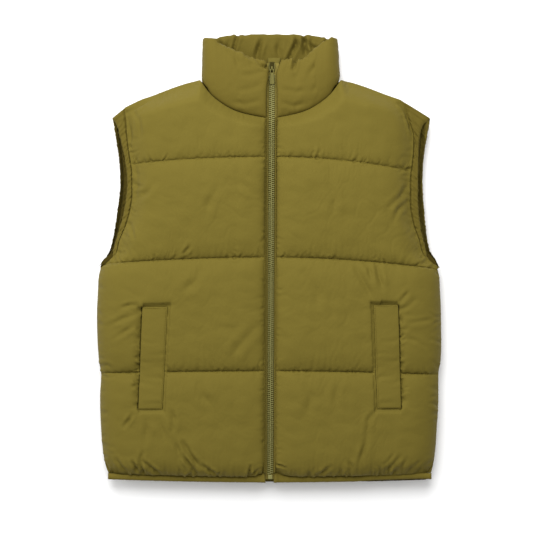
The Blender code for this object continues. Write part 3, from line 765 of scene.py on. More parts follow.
def puckered(plan, baffle, shares, reach, seed):
    # short folds that run out from the quilt lines, bunched here and slack there
    away = seamDistance(plan, baffle, shares)
    x = plan[..., 0]
    folds = np.zeros_like(x)
    for k in range(4):
        for half in (0, 1):
            strength = 0.5 + 0.7 * wander(x, (95.0, 57.0, 190.0), seed + 40 + 2 * k + half)
            strength = np.clip(strength, 0, 1.3) * (0.1 if half else 1.0)
            lean = x + away * (0.25 * wander(x, (120.0, 70.0), seed + 20 + k))
            wave = wander(lean, (13.0, 19.0, 31.0), seed + 2 * k + half)
            chosen = (baffle[:, None] == k) & ((shares[:, None] > 0.5) == bool(half))
            folds = np.where(chosen, wave * strength, folds)
    return folds * np.exp(-away / reach) * (1 - np.exp(-away / 2.5))


def frontColumns():
    # shares across a front, crowded at its zip edge, its side and its welt
    width, lip = fronts["width"], fronts["lipWidth"] / fronts["width"]
    peaks = ((0, 14, 1.6), (width, 16, 1.6), (207 - fronts["lipWidth"], 32, 0.9))
    columns = spread(fronts["columns"], width, peaks)
    columns = np.concatenate([[0, lip / 2], blend(lip, 1, columns)])
    columns[np.abs(columns - body["neckShare"]).argmin()] = body["neckShare"]
    return columns


def frontSeams(front, columns):
    # the height that the filling rises from: the quilt lines, and the fall to each sewn edge
    baffle, shares, fromSide = front["baffle"], front["shares"], front["fromSide"]
    seam = blend(fronts["seamZ"], fronts["sideSeamZ"], np.exp(-fromSide / 16))
    lineLift = np.array(fronts["lineLift"])
    lineLift = blend(lineLift[baffle], lineLift[baffle + 1], shares)[:, None]
    seam = seam + lineLift * (1 - np.exp(-front["fromZip"] / 12)) * (1 - np.exp(-fromSide / 24))
    shoulder = easeIn((columns - body["neckShare"] + 0.03) / 0.09)
    shoulder = blend(fronts["neckSeamZ"], fronts["sideSeamZ"], shoulder)
    drop = easeIn((shares - 1 + fronts["shoulderDrop"]) / fronts["shoulderDrop"])
    drop = np.where(baffle == 3, drop, 0)
    seam = blend(seam, np.minimum(seam, shoulder[None]), drop[:, None])
    hem = (baffle == 0)[:, None] & (shares[:, None] < fronts["hemFall"])
    fall = fronts["seamZ"] - fronts["hemSeamZ"]
    seam = np.where(hem, seam - fall * (1 - shares[:, None] / fronts["hemFall"]) ** 3, seam)
    byArm = blend(seam, fronts["armSeamZ"], np.exp(-fromSide / 16))
    return np.where(front["atArm"], byArm, seam)


def hangOver(front):
    # the filling hangs over its seams, and the hem seam turns up towards the zip
    x, y, away, seed = front["plan"][..., 0], front["plan"][..., 1], front["away"], front["seed"]
    reach = np.where(front["baffle"] == 0, fronts["hemReach"], fronts["overhangReach"])[:, None]
    bump = away / reach * np.exp(1 - away / reach)
    share = front["shares"][:, None]
    for k, hang in enumerate(fronts["lineHang"]):
        within = front["baffle"][:, None] == k
        foot, head, line = within & (share < 0.5), within & (share >= 0.5), within & (share == 0)
        if k == 0:
            table = np.array(hemOverhang[front["side"]])
            over = np.interp(np.abs(x), table[:, 0], table[:, 1])
            over = over + 1.3 * wander(x, (8.0, 13.0, 23.0), seed + 9)
            y = y + np.where(foot, hemRise(x) * np.exp(-away / 25), 0)
        else:
            over = hang * (1 + 1.1 * wander(x, (11.0, 17.0, 29.0, 60.0), seed + k))
        y = y - np.where(foot, over * bump, 0)
        y = y + np.where(head, 0.5 * hang * (1 + wander(x, (13.0, 22.0), seed + 20 + k)) * bump, 0)
        wiggle = fronts["seamWiggle"] * wander(x, (8.0, 13.0, 21.0), seed + 30 + k)
        y = y + np.where(line & (k > 0), wiggle, 0)
    return y


def fillBaffles(front, seam, y):
    # the filling's height, with its lumps, crumples and the puckers along its seams
    plan, baffle, fromZip, fromSide = (front[key] for key in ("plan", "baffle", "fromZip", "fromSide"))
    full = swell(front["shares"])[:, None] * swellFrom(fromZip, fronts["zipReach"])
    reach = blend(fronts["sideReach"][front["side"]], fronts["armReach"], np.clip((y + 20) / 40, 0, 1))
    gentle = slopeFrom(fromSide, reach)
    sideFull = blend(swellFrom(fromSide, reach), gentle, fronts["sideSlope"])
    full = full * np.where(front["atArm"], gentle, sideFull)
    lumps = 1 + 0.05 * rolling(plan, (170.0, 110.0), 5)
    inward = np.sin(np.clip(fromZip / fronts["zipSpan"], 0, 1) * math.pi / 2)
    lift = np.array(fronts["lifts"])[baffle][:, None] * blend(fronts["zipFill"], 1, inward)
    z = seam + lift * full * lumps
    z += fronts["lumps"] * rolling(plan, (60.0, 42.0, 30.0), 7) * full
    nearEdge = np.exp(-np.minimum(front["away"], fromSide) / 18)
    seed = front["seed"]
    z += fronts["crumple"] * crumpled(plan, (62.0, 44.0), seed + 60) * full * (0.7 + nearEdge)
    z += fronts["fineCrumple"] * crumpled(plan, (30.0, 22.0), seed + 70) * full * (0.5 + 1.4 * nearEdge)
    folds = puckered(plan, baffle, front["shares"], fronts["puckerReach"],
                     100 if front["side"] == "left" else 300)
    return z + fronts["puckers"] * folds * np.clip(full * 3, 0, 1)


def seatWelt(front, y, z, held):
    # the front lies against its welt, sinks into the pocket's mouth and bulges back beyond it
    x, sign, seed = front["plan"][..., 0], sides[front["side"]], front["seed"]
    across, up = weltShares(front["side"], x, y)
    near = bell(np.maximum(np.abs(across - 0.5) - 0.5, 0), 0.12)
    hip = (front["baffle"][:, None] == 1) & (front["shares"][:, None] == 0)
    z = np.where(hip, z + (weltZ(weltStrip["hip"]) - 3 - z) * near * 0.85, z)
    hug = weltStrip["hug"] * (1 + 0.5 * wander(y, (21.0, 34.0, 55.0), seed + 80))
    inside, outside = weltStrip["mouth"]
    beside = (across > -0.12) & (across < inside) & (up > -0.03) & (up < 1.03)
    under = (across > -0.01) & (across < inside) & (up > -0.004) & (up < 1.004)
    mouth = (across >= inside) & (across < outside) & (up > 0.0) & (up < 1.0)
    z = np.where(beside & ~under, weltZ(up) + 0.6 + hug, z)
    z = np.where(under, weltZ(up) - 0.7, z)
    z = np.where(mouth, weltZ(up) - weltStrip["mouthDepth"], z)
    beyond = bell(np.maximum(across - outside, 0), 0.15) * (across >= outside)
    beyond = beyond * np.clip(np.minimum(up, 1 - up) / 0.04, 0, 1)
    z -= fronts["mouthDip"] * beyond * (0.8 + 0.4 * wander(y, (17.0, 29.0, 47.0), seed + 82))
    bulge = bell(across - 1.12, 0.08) * (up > 0.02) * (up < 0.98)
    x = x - sign * fronts["mouthLean"] * bulge * (0.7 + wander(y, (12.0, 19.0, 31.0), seed + 81))
    held = held | under | mouth | (beside & (across > -0.05) & (up > -0.012) & (up < 1.012))
    return np.dstack([x, y, z]), held


def frontGrid(side):
    columns = frontColumns()

    def foldX(y):
        return zipX(y) + sides[side] * fronts["zipGap"][side]

    plan, baffle, shares = panelPlan(side, columns, foldX, sewnEdge(frontEdge), 1,
                                     fronts["rowCounts"], fronts["crowd"])
    x = plan[..., 0]
    front = {
        "side": side, "plan": plan, "baffle": baffle, "shares": shares,
        "fromZip": np.abs(x - x[:, :1]) - fronts["lipWidth"], "fromSide": np.abs(x[:, -1:] - x),
        "away": seamDistance(plan, baffle, shares), "atArm": (baffle >= 2)[:, None],
        "seed": 500 if side == "left" else 600,
    }
    y = hangOver(front)
    z = fillBaffles(front, frontSeams(front, columns), y)
    held = np.zeros(x.shape, bool)
    held |= (shares[:, None] == 0) | (shares[:, None] == 1)
    held[:, -1] = True
    held[:, :3] = True
    z[:, 0] = fronts["lipZ"] - fronts["lipFall"]
    z[:, 1], z[:, 2] = fronts["lipZ"], fronts["stitchZ"]
    front["grid"], held = seatWelt(front, y, z, held)
    return front, held


def seamTucks(front):
    # the small creases that run into a front from its seams
    side, plan, baffle = front["side"], front["plan"], front["baffle"]
    seed = 800 if side == "left" else 900
    inward = -sides[side]
    rows = [np.flatnonzero((baffle == k) & (front["shares"] == 0))[0] for k in range(4)]
    creases = tucks(plan[rows[0], 4:-4], (0, 1), *frontTucks["hem"], seed)
    for k in (1, 2, 3):
        creases += tucks(plan[rows[k], 4:-4], (0, 1), *frontTucks["aboveLine"], seed + k)
        creases += tucks(plan[rows[k], 4:-4], (0, -1), *frontTucks["belowLine"], seed + 10 + k)
    creases += tucks(plan[-1, 4:-4], (0, -1), *frontTucks["shoulder"], seed + 20)
    creases += tucks(plan[baffle >= 2, -1], (inward, -0.3), *frontTucks["armhole"], seed + 21)
    creases += tucks(plan[baffle < 2, -1], (inward, 0), *frontTucks["side"], seed + 22)
    creases += tucks(plan[:, 3], (-inward, 0), *frontTucks["zip"], seed + 23)
    size = welts[side]
    foot = -inward * (size["outerFoot"] + 1.5), size["footY"]
    top = -inward * (size["outerTop"] + 1.5), size["topY"]
    mouth = np.linspace(foot, top, 30)
    creases += tucks(mouth, (-inward * 0.9, 0.45), *frontTucks["mouth"], seed + 24)
    return creases


def makeFront(side):
    front, held = frontGrid(side)
    plan = front["plan"]
    nearSeam = np.exp(-front["away"] / 16)
    above = np.where(front["shares"][:, None] < 0.5, 1.0, 0.2)
    across = fronts["slackAcross"] + fronts["seamSlack"] * nearSeam * above
    along = np.full(plan.shape[:2], fronts["slackAlong"])
    steps = fronts["steps"]
    grid = settleCloth(front["grid"], held, across, along, fronts["push"], steps,
                       outward=sides[side], floor=body["liningZ"] + 1.5)
    front["grid"] = addCreases(easeGrid(grid, held), frontCreases[side] + seamTucks(front),
                               where=~held, outward=sides[side])
    lining = np.dstack([plan, np.zeros(plan.shape[:2])])
    underLip = np.abs(plan[..., 0] - plan[:, :1, 0]) < fronts["tapeCover"]
    lining[..., 2] = np.where(underLip, body["zipFloorZ"], body["liningZ"])
    piece = closedPanel(f"shell_front_{side}", front["grid"], lining, shell,
                        (f"front_{side}",), fronts["liningStep"])
    return front


print("fronts")
frontPieces = {side: makeFront(side) for side in sides}

# back

back = {
    "seamZ": 15.0, "sideSeamZ": 24.0, "neckZ": 20.0, "sag": 23.0, "floor": 0.15, "sideReach": 66.0,
    "width": 295.0, "columns": 74, "rowCounts": (46, 48, 42, 30), "crowd": 0.6, "puckers": 1.4,
    "puckerReach": 13.0,
    "slack": 0.010, "seamSlack": 0.02, "push": 0.0022, "steps": 150,
}
backCreases = [
    ([(-196, -352), (-182, -330), (-175, -296)], 2.4, 5.0),
    ([(-88, -371), (-74, -350), (-70, -322)], 2.0, 4.5),
    ([(31, -368), (44, -347), (66, -330)], 2.2, 5.0),
    ([(150, -372), (160, -345), (158, -310)], 2.6, 5.0),
    ([(214, -362), (226, -344), (244, -332)], 1.8, 4.0),
    ([(-240, -180), (-214, -150), (-204, -112)], 2.4, 6.0),
    ([(-32, -176), (-40, -128), (-22, -90)], 1.8, 6.0),
    ([(128, -180), (150, -150), (190, -132)], 2.6, 6.0),
    ([(-150, 18), (-160, 58), (-190, 90)], 2.2, 6.0),
    ([(60, 20), (76, 60), (70, 104)], 1.8, 5.5),
    ([(180, 196), (196, 222), (222, 240)], 1.8, 4.5),
    ([(-118, 190), (-124, 226), (-104, 262)], 1.8, 5.0),
]


def makeBack():
    columns = spread(back["columns"], back["width"], ((back["width"], 18, 1.4),))
    columns[np.abs(columns - body["neckShare"]).argmin()] = body["neckShare"]
    halves = {}
    for side in sides:
        halves[side], baffle, shares = panelPlan(side, columns, lambda y: 0.0, sewnEdge(backEdge),
                                                 2, back["rowCounts"], back["crowd"])
    plan = np.concatenate([halves["right"][:, :0:-1], halves["left"]], axis=1)
    x = plan[..., 0]
    fromSide = np.minimum(x - x[:, :1], x[:, -1:] - x)
    full = swell(shares)[:, None] * swellFrom(fromSide, back["sideReach"])
    seam = blend(back["seamZ"], back["sideSeamZ"], np.exp(-fromSide / 12))
    rise = np.where(baffle == 3, easeIn((shares - 0.75) / 0.25), 0)[:, None]
    seam = blend(seam, np.maximum(seam, back["neckZ"]), rise)
    z = seam - back["sag"] * full
    folds = puckered(plan, baffle, shares, back["puckerReach"], 700)
    z -= back["puckers"] * folds * np.clip(full * 3, 0, 1)
    grid = np.dstack([plan, np.maximum(z, back["floor"])])
    held = np.zeros(x.shape, bool)
    held |= (shares[:, None] == 0) | (shares[:, None] == 1)
    held[:, [0, -1]] = True
    nearSeam = np.exp(-seamDistance(plan, baffle, shares) / 16)
    slack = back["slack"] + back["seamSlack"] * nearSeam
    steps = back["steps"]
    grid = settleCloth(grid, held, slack, slack, back["push"], steps, outward=-1,
                       floor=back["floor"])
    grid = addCreases(easeGrid(grid, held), backCreases, where=~held, outward=-1)
    grid[..., 2] = np.maximum(grid[..., 2], back["floor"])
    lining = np.dstack([plan, np.full(plan.shape[:2], body["backLiningZ"])])
    piece = closedPanel("shell_back", grid, lining, [shell, liningAndShadeCloth], ("back",), 2)
    paintLiningShade(piece, body["backLiningZ"])
    return {"plan": plan, "halves": halves, "baffle": baffle, "shares": shares, "grid": grid}


def paintLiningShade(piece, level):
    # the second material, the dark lining colour that also paints shade, covers the faces that lie at one
    # level
    for face in piece.data.polygons:
        if all(abs(piece.data.vertices[k].co.z / mm - level) < 0.05 for k in face.vertices):
            face.material_index = 1


print("back")
backPiece = makeBack()

# armhole bands

armBands = {
    "thick": 5.4, "backShare": 0.85, "rings": 170, "steps": 24, "gap": -1.6, "ripple": 1.2,
    "stitchAt": 0.15, "stitchSink": 1.5, "ridge": 1.3, "groove": 1.6, "folds": 0.7, "foldSway": 0.03,
    "edgeRoll": 2.6, "trough": {"right": 9.0, "left": 14.0},
    "troughShape": {"right": (0.6, 0.78, 0.2), "left": (0.3, 0.48, 0.42)},
    # a fold that runs along each back band: place across, height, half width; and the share across past
    # which its top keeps the band colour, without the painted shade
    "fold": {"right": (0.80, 2.4, 0.050), "left": (0.86, 1.6, 0.040)},
    "brightEdge": {"right": 0.93, "left": 0.86},
}


def bandRoute(side, layer):
    # seam points and free edge points of one armhole band, from the underarm up
    piece = frontPieces[side] if layer == "front" else backPiece
    plan = piece["plan"] if layer == "front" else piece["halves"][side]
    seam = plan[piece["baffle"] >= 2, -1]
    run = runAlong(seam)
    at = np.linspace(0, run[-1], armBands["rings"])
    seam = pointsAt(seam, run, at)
    share = (seam[:, 1] - seam[0, 1]) / (seam[-1, 1] - seam[0, 1])
    y = blend(armholeEdge[0][0], armholeEdge[-1][0], share)
    column = sideColumn(side) + (2 if layer == "back" else 0)
    edge = np.stack([sides[side] * readCurve(armholeEdge, y, column), y], -1)
    return seam, edge, at


def backTrough(side, share, ends):
    # how far a back band sinks between its seam and its free edge
    sink, rise, reach = armBands["troughShape"][side]
    sunk = np.clip(share / sink, 0, 1) ** 2 - 0.9 * np.clip((share - rise) / reach, 0, 1) ** 1.5
    return armBands["trough"][side] * sunk * np.sin(math.pi * ends) ** 0.35


def bandFolds(ripple, second, share):
    # the crinkles across a band, as heights
    return ripple * np.sin(share * math.pi) + second * np.sin(share * math.pi * 2)


def makeArmBand(side, layer):
    seam, edge, at = bandRoute(side, layer)
    out = edge - seam
    out = out / np.linalg.norm(out, axis=1, keepdims=True)
    start = seam + out * armBands["gap"]
    onBack = layer == "back"
    thick = armBands["thick"] * (armBands["backShare"] if onBack else 1)
    floor = body["backLiningZ"] - thick if onBack else body["liningZ"]
    across, up = ovalRing(0.5, thick, armBands["steps"], 0.62)
    seed = 31 + 7 * (side == "left") + 13 * onBack
    ripple = armBands["ripple"] * wander(at, (7.0, 10.0, 16.0, 33.0), seed)
    second = armBands["ripple"] * wander(at, (8.5, 13.0, 21.0), seed + 1)
    ends = np.minimum(np.linspace(0, 1, len(at)), np.linspace(1, 0, len(at)))
    taper = np.clip(ends / 0.012, 0.25, 1) ** 0.5
    share = across + 0.5
    ridges = bell(share - 0.34, 0.11) + 0.6 * bell(share - 0.88, 0.10)
    groove = bell(share - armBands["stitchAt"], 0.07)
    wavers = wander(at, (23.0, 37.0, 61.0), seed + 2)
    place, rise, half = armBands["fold"][side]
    rings = []
    for k in range(len(at)):
        flat = blend(start[k], edge[k], share[:, None]) + out[k] * ripple[k] * 0.6 * share[:, None] ** 2
        folds = armBands["folds"] * bandFolds(ripple[k], second[k], share)
        top = (armBands["ridge"] * ridges - armBands["groove"] * groove + folds) * taper[k]
        height = up * taper[k] + np.where(up > 0, top, 0)
        if onBack:
            beside = share - (place + armBands["foldSway"] * wavers[k])
            fold = bell(beside, half) - 0.8 * bell(beside + 2.2 * half, half)
            height = height - backTrough(side, share, ends[k])
            height = height + rise * (1 + 0.5 * wavers[k]) * fold * taper[k]
        else:
            height = height - armBands["edgeRoll"] * np.clip((share - 0.6) / 0.4, 0, 1) ** 2 * taper[k]
        rings.append(np.column_stack([flat, floor + thick / 2 + height]))
    name = f"armhole_band_{layer}_{side}"
    # painted shade on the back bands' up-facing faces: the dark lining colour on the wearer's right, a
    # darkened shell colour on the left, except a strip at the free edge
    under = liningAndShadeCloth if side == "right" else shadeCloth
    cloth = [armShadeCloth, under] if onBack else armShadeCloth
    piece = ringPiece(f"band_{layer}_{side}", np.array(rings), cloth, (name,))
    if onBack:
        bright = np.resize(share > armBands["brightEdge"][side], len(at) * len(share))
        for face in piece.data.polygons:
            beBright = face.index < len(bright) and bright[face.index]
            face.material_index = int(face.normal.z > 0.05 and not beBright)
    stitchAt = armBands["stitchAt"]
    folds = armBands["folds"] * bandFolds(ripple, second, stitchAt)
    height = floor + thick - armBands["stitchSink"] + folds
    if onBack:
        height = height - backTrough(side, stitchAt, ends)
    return np.column_stack([blend(start, edge, stitchAt), height])


print("bands")
bandStitches = [makeArmBand(side, layer) for side in sides for layer in ("front", "back")]

# hem bands

hemBand = {
    "thick": 12.0, "backThick": 8.0, "height": 10.6, "zipThick": 3.0, "gap": 0.4, "steps": 10,
    "spacing": 1.6, "ripple": 0.5,
    # how far the bands hang below their seams: x, drop
    "backDrop": [(-300, 0), (130, 0), (170, 1.8), (268, 1.8), (285, 0)],
    "frontDrop": [(-300, 0), (150, 0), (185, -2.0), (262, -2.0), (284, 0)],
}


def makeHemBand(name, edge, floor, cloth, stands, seed, thick, drop, nearZip=0.0):
    run = runAlong(edge)
    at = np.linspace(0, run[-1], int(run[-1] / hemBand["spacing"]))
    edge = pointsAt(edge, run, at)
    floors = np.interp(at, run, floor)
    across, up = ovalRing(hemBand["height"] / 2, thick, hemBand["steps"], 0.7)
    ripple = hemBand["ripple"] * wander(at, (5.5, 7.5, 11.0, 23.0), seed)
    fromEnd = np.minimum(at, at[-1] - at)
    taper = np.sqrt(np.clip(1 - (1 - np.clip(fromEnd / 2.0, 0, 1)) ** 2, 0.05, 1))
    rings = []
    for k in range(len(at)):
        y = edge[k, 1] - hemBand["gap"] - hemBand["height"] / 2 + across * (1 + 0.05 * ripple[k])
        y = y - np.interp(edge[k, 0], *zip(*drop))
        y = y + nearZip * hemRise(edge[k, 0]) * np.clip(across / hemBand["height"] * 2, 0, 1)
        fuller = nearZip * hemBand["zipThick"] * math.exp(-abs(edge[k, 0]) / 16)
        z = floors[k] + thick / 2 + up * taper[k] + (0.6 * ripple[k] + fuller) * (up > 0)
        rings.append(np.column_stack([np.full(len(y), edge[k, 0]), y, z]))
    piece = ringPiece(name, np.array(rings), cloth, stands)
    return piece


for side in sides:
    row = frontPieces[side]["plan"][0]
    floor = np.where(np.abs(row[:, 0] - row[0, 0]) < fronts["tapeCover"],
                     body["zipFloorZ"], body["liningZ"])
    makeHemBand(f"hem_front_{side}", row, floor, bandCloth, (f"hem_band_front_{side}",),
                51 + (side == "left"), hemBand["thick"], hemBand["frontDrop"], 1.0)
backRow = backPiece["plan"][0]
backFloor = np.full(len(backRow), body["backLiningZ"] - hemBand["backThick"])
backHem = makeHemBand("hem_back", backRow, backFloor, [bandCloth, liningAndShadeCloth], ("hem_band_back",), 57,
                      hemBand["backThick"], hemBand["backDrop"])
# painted shade: the back hem band's up-facing faces take the dark lining colour, standing in for the shade
# under the front hem band
for face in backHem.data.polygons:
    face.material_index = int(face.normal.z > 0.2)

# collar: one padded strip, turned over at both sides

collar = {
    "halfWidth": 120.0, "seamThick": 6.0, "fill": 11.0, "endReach": 20.0, "rimRound": 7.0,
    "pinch": (3.0, 1.6), "pinchY": 316.0, "rimWaves": 1.1,
    "frontZ": (37.5, 42.0, 38.0), "backZ": (18.0, 9.2, 12.0), "clear": 0.42,
    "frontStations": 56, "foldStations": 22, "backStations": 50, "rows": 34,
    "flare": {"right": [(0, 0), (0.14, 0.4), (1, -0.9)], "left": [(0, 0), (0.14, 1.9), (1, -1.8)]},
    "splay": (2.5, 9.0), "gather": 0.5, "crumple": 0.55, "slack": 0.003, "push": 0.0017, "steps": 120,
    "backReach": 150.0, "neckReach": 165.0,  # how far round from the middle of the back
    "tucks": (14.0, 20.0, 1.4, 2.8),
}
collarRim = [
    # x, right front, left front, back
    (8, 342.3, 344.0, 391.8), (24, 345.0, 345.0, 391.8), (46, 354.0, 342.0, 391.5),
    (70, 361.5, 356.5, 390.5), (90, 370.0, 370.0, 388.3), (112, 379.5, 382.0, 384.5),
]
collarFold = [
    # degrees below level, neck edge y, rim y
    (-90, 292.6, 381.5), (-45, 301.8, 383.5), (0, 307.6, 384.5), (45, 305.9, 384.5),
    (90, 301.4, 384.5),
]
collarCreases = [
    ([(-57, 391), (-61, 380), (-66, 362), (-68, 348)], 6.4, 3.1),
    ([(-70, 382), (-76, 370), (-78, 356)], 3.0, 3.6),
    ([(-14, 384), (-20, 370), (-25, 352), (-24, 338)], 5.9, 4.1),
    ([(16, 380), (13, 366), (16, 346)], 3.2, 4.5),
    ([(47, 386), (44, 372), (36, 356), (30, 342)], 7.4, 3.6),
    ([(58, 390), (60, 376), (62, 356)], 8.6, 3.8),
    ([(68, 378), (74, 368), (84, 366)], 4.6, 3.2),
    ([(102, 388), (99, 378), (90, 368)], 4.1, 3.1),
    ([(-96, 386), (-90, 376), (-80, 368)], 3.2, 3.4),
]
collarFrontCreases = [
    ([(-5, 330), (-11, 331), (-20, 335)], 6.5, 2.8, True),
    ([(45, 352), (43, 343), (40, 326)], 6.0, 3.0),
    ([(46, 336), (47, 322), (44, 306)], 1.4, 6.0),
    ([(-46, 362), (-42, 352), (-30, 344)], 2.8, 3.2),
    ([(-27, 351), (-24, 343), (-16, 336)], 2.8, 2.8),
    ([(-76, 360), (-62, 348), (-54, 330)], 1.6, 4.2),
    ([(108, 366), (90, 352), (78, 330)], 2.2, 5.0),
    ([(96, 342), (76, 330), (64, 312)], 1.8, 4.6),
    ([(-16, 322), (-34, 316), (-52, 318)], 1.6, 4.0),
    ([(-14, 300), (-36, 292), (-56, 290)], 1.4, 4.4),
    ([(-18, 272), (-44, 266), (-66, 270)], 1.4, 4.0),
    ([(20, 268), (40, 262), (64, 268)], 1.6, 3.8),
    ([(18, 292), (42, 286), (60, 290)], 1.4, 4.4),
    ([(100, 318), (88, 300), (70, 288)], 1.6, 4.4),
    ([(-100, 322), (-84, 304), (-70, 296)], 1.4, 4.4),
]


def threePoint(values, share):
    start, middle, end = values
    bow = np.sin(share * math.pi)
    return np.where(share < 0.5, blend(start, middle, bow), blend(end, middle, bow))


def collarHalf(side):
    # middle of the collar's wall from its zip edge to the middle of the back: plan place at the
    # neck and at the rim, and the angle of the wall's outward side
    sign = sides[side]
    start = body["zipHalfGap"]
    foldX = collar["halfWidth"] - collar["seamThick"] / 2 - (collar["frontZ"][0] - collar["backZ"][0]) / 2
    front = spread(collar["frontStations"], foldX, ((0, 10, 1.5),))
    x = blend(start, foldX, front)
    angles = np.linspace(-90, 90, collar["foldStations"] + 2)[1:-1]
    rear = np.linspace(1, 0, collar["backStations"])
    along = np.concatenate([front, np.ones(len(angles)), rear])
    angle = np.radians(np.concatenate([np.full(len(x), -90.0), angles, np.full(len(rear), 90.0)]))
    neckY = np.concatenate([readCurve(neckLine, x, 1), readCurve(collarFold, angles, 1),
                            readCurve(neckLine, rear * foldX, 2)]) + collar["clear"]
    rimY = np.concatenate([readCurve(collarRim, x, sideColumn(side)), readCurve(collarFold, angles, 2),
                           readCurve(collarRim, rear * foldX, 3)])
    for _ in range(3):
        for row in (neckY, rimY):
            row[1:-1] = (row[:-2] + 2 * row[1:-1] + row[2:]) / 4
    farOff = np.full(len(angles) + len(rear), 999.0)  # any length past collar["endReach"]
    fromZip = np.concatenate([x - start, farOff])
    onFront = np.concatenate([np.ones(len(x)), np.zeros(len(angles) + len(rear))])
    return {"sign": sign, "along": along, "angle": angle, "neckY": neckY, "rimY": rimY,
            "fromZip": fromZip, "front": onFront}


def collarSections(half):
    # the shell round the wall at each station: up its outer side, over the rim, down its inner
    rows = collar["rows"]
    v = clustered(rows, 0.35)
    turn = np.linspace(0, math.pi, 9)[1:-1]
    height = np.concatenate([v, np.ones(len(turn)), v[::-1]])
    angle, along = half["angle"][:, None], half["along"][:, None]
    square = blend(1.0, 0.45, np.clip((along - 0.75) / 0.25, 0, 1) * (half["front"][:, None] > 0))
    square = np.where(half["front"][:, None] > 0, square, 0.6)
    cosines, sines = np.cos(turn)[None], np.sin(turn)[None]
    level = np.ones((len(half["angle"]), rows))
    lean = np.concatenate([level, np.sign(cosines) * np.abs(cosines) ** square, -level], axis=1)
    cap = np.concatenate([0 * level, sines ** square, 0 * level], axis=1)
    ends = swellFrom(half["fromZip"], collar["endReach"])[:, None]
    full = swell(height * 0.86)[None] * ends
    thick = collar["seamThick"] + collar["fill"] * full
    lip = np.sqrt(np.clip(1 - (1 - np.clip(half["fromZip"] / 2.5, 0, 1)) ** 2, 0.04, 1))[:, None]
    thick = thick * lip
    frontZ, backZ = threePoint(collar["frontZ"], height), threePoint(collar["backZ"], height)
    radius = ((frontZ - backZ) / 2)[None]
    side = "left" if half["sign"] > 0 else "right"
    halfWidth = collar["halfWidth"] + np.interp(height, *zip(*collar["flare"][side]))[None]
    centreX = halfWidth - thick / 2 - radius
    rimY = half["rimY"][:, None] - collar["rimRound"]
    stations = np.cumsum(np.where(half["front"] > 0, 4.0, 1.5))
    waves = wander(stations, (17.0, 29.0, 47.0), 63 + half["sign"])
    waves = waves * np.where(half["front"] > 0, 1, 0.7 * (1 - np.exp(-half["along"] / 0.2)))
    rimY = rimY + collar["rimWaves"] * waves[:, None]
    y = blend(half["neckY"][:, None], rimY, height[None]) + cap * collar["rimRound"]
    splay = collar["splay"][half["sign"] > 0] * np.clip((y - 318) / 28, 0, 1) ** 1.6
    pinch = collar["pinch"][half["sign"] > 0] * bell(y - collar["pinchY"], 15)
    start = splay - pinch + np.abs(zipX(y) * half["sign"] + body["zipHalfGap"])
    onFront = half["front"][:, None]
    x = np.where(onFront > 0, blend(start, centreX, along), along * centreX)
    outX, outZ = np.cos(angle), -np.sin(angle)
    x = x + outX * radius + outX * lean * thick / 2
    z = ((frontZ + backZ) / 2)[None] + outZ * radius + outZ * lean * thick / 2
    return np.dstack([half["sign"] * x, y, z])


def makeCollar():
    halves = {side: collarSections(collarHalf(side)) for side in sides}
    grid = np.concatenate([halves["right"], halves["left"][-2::-1]])
    rows = grid.shape[1]
    middleRow = rows // 2
    run = runAlong(grid[:, middleRow])
    fromMiddle = np.abs(run - run[-1] / 2)
    inner = np.arange(rows)[None] > middleRow - 3
    onBack = (fromMiddle < collar["backReach"])[:, None]
    facing = -1 if gridNormals(grid)[20, 10, 2] < 0 else 1
    folds = wander(run, (13.0, 19.0, 31.0), 61)[:, None] * np.ones(rows)[None]
    depth = np.where(inner & onBack, 0.3 * collar["gather"], 0.0)
    bow = np.sin(np.linspace(0, math.pi, rows)) ** 0.5
    grid = grid + gridNormals(grid) * facing * (folds * depth * bow[None])[..., None]
    held = np.zeros(grid.shape[:2], bool)
    held[:, [0, -1]] = True
    held[[0, -1]] = True
    slack = np.full(grid.shape[:2], collar["slack"])
    steps = collar["steps"]
    grid = settleCloth(grid, held, slack, slack, collar["push"], steps, outward=facing,
                       floor=0.3, keep=0.01)
    crumple = collar["crumple"] * crumpled(grid[..., :2], (38.0, 24.0), 67) * bow[None]
    grid = grid + gridNormals(grid) * (facing * crumple * ~held)[..., None]
    grid = addCreases(grid, collarCreases, where=(inner & onBack) & ~held, outward=facing)
    neckEdge = fromMiddle > collar["neckReach"]
    outer = (np.arange(rows)[None] < middleRow + 3) & neckEdge[:, None]
    folds = list(collarFrontCreases)
    for stretch, seed in ((slice(3, 52), 951), (slice(-52, -3), 952)):
        folds += tucks(grid[stretch, 0, :2], (0, 1), *collar["tucks"], seed)
    grid = addCreases(grid, folds, where=outer & ~held, outward=facing)
    piece = ringPiece("collar_padded", grid, [collarShadeCloth, collarInsideShadeCloth], ("collar",))
    # painted shade: the inner side of the back collar takes the darker copy of the collar cloth
    for face in piece.data.polygons[:(len(grid) - 1) * rows]:
        station, row = divmod(face.index, rows)
        face.material_index = int(middleRow <= row < rows - 1 and not neckEdge[station])


print("collar")
makeCollar()

# pocket welts


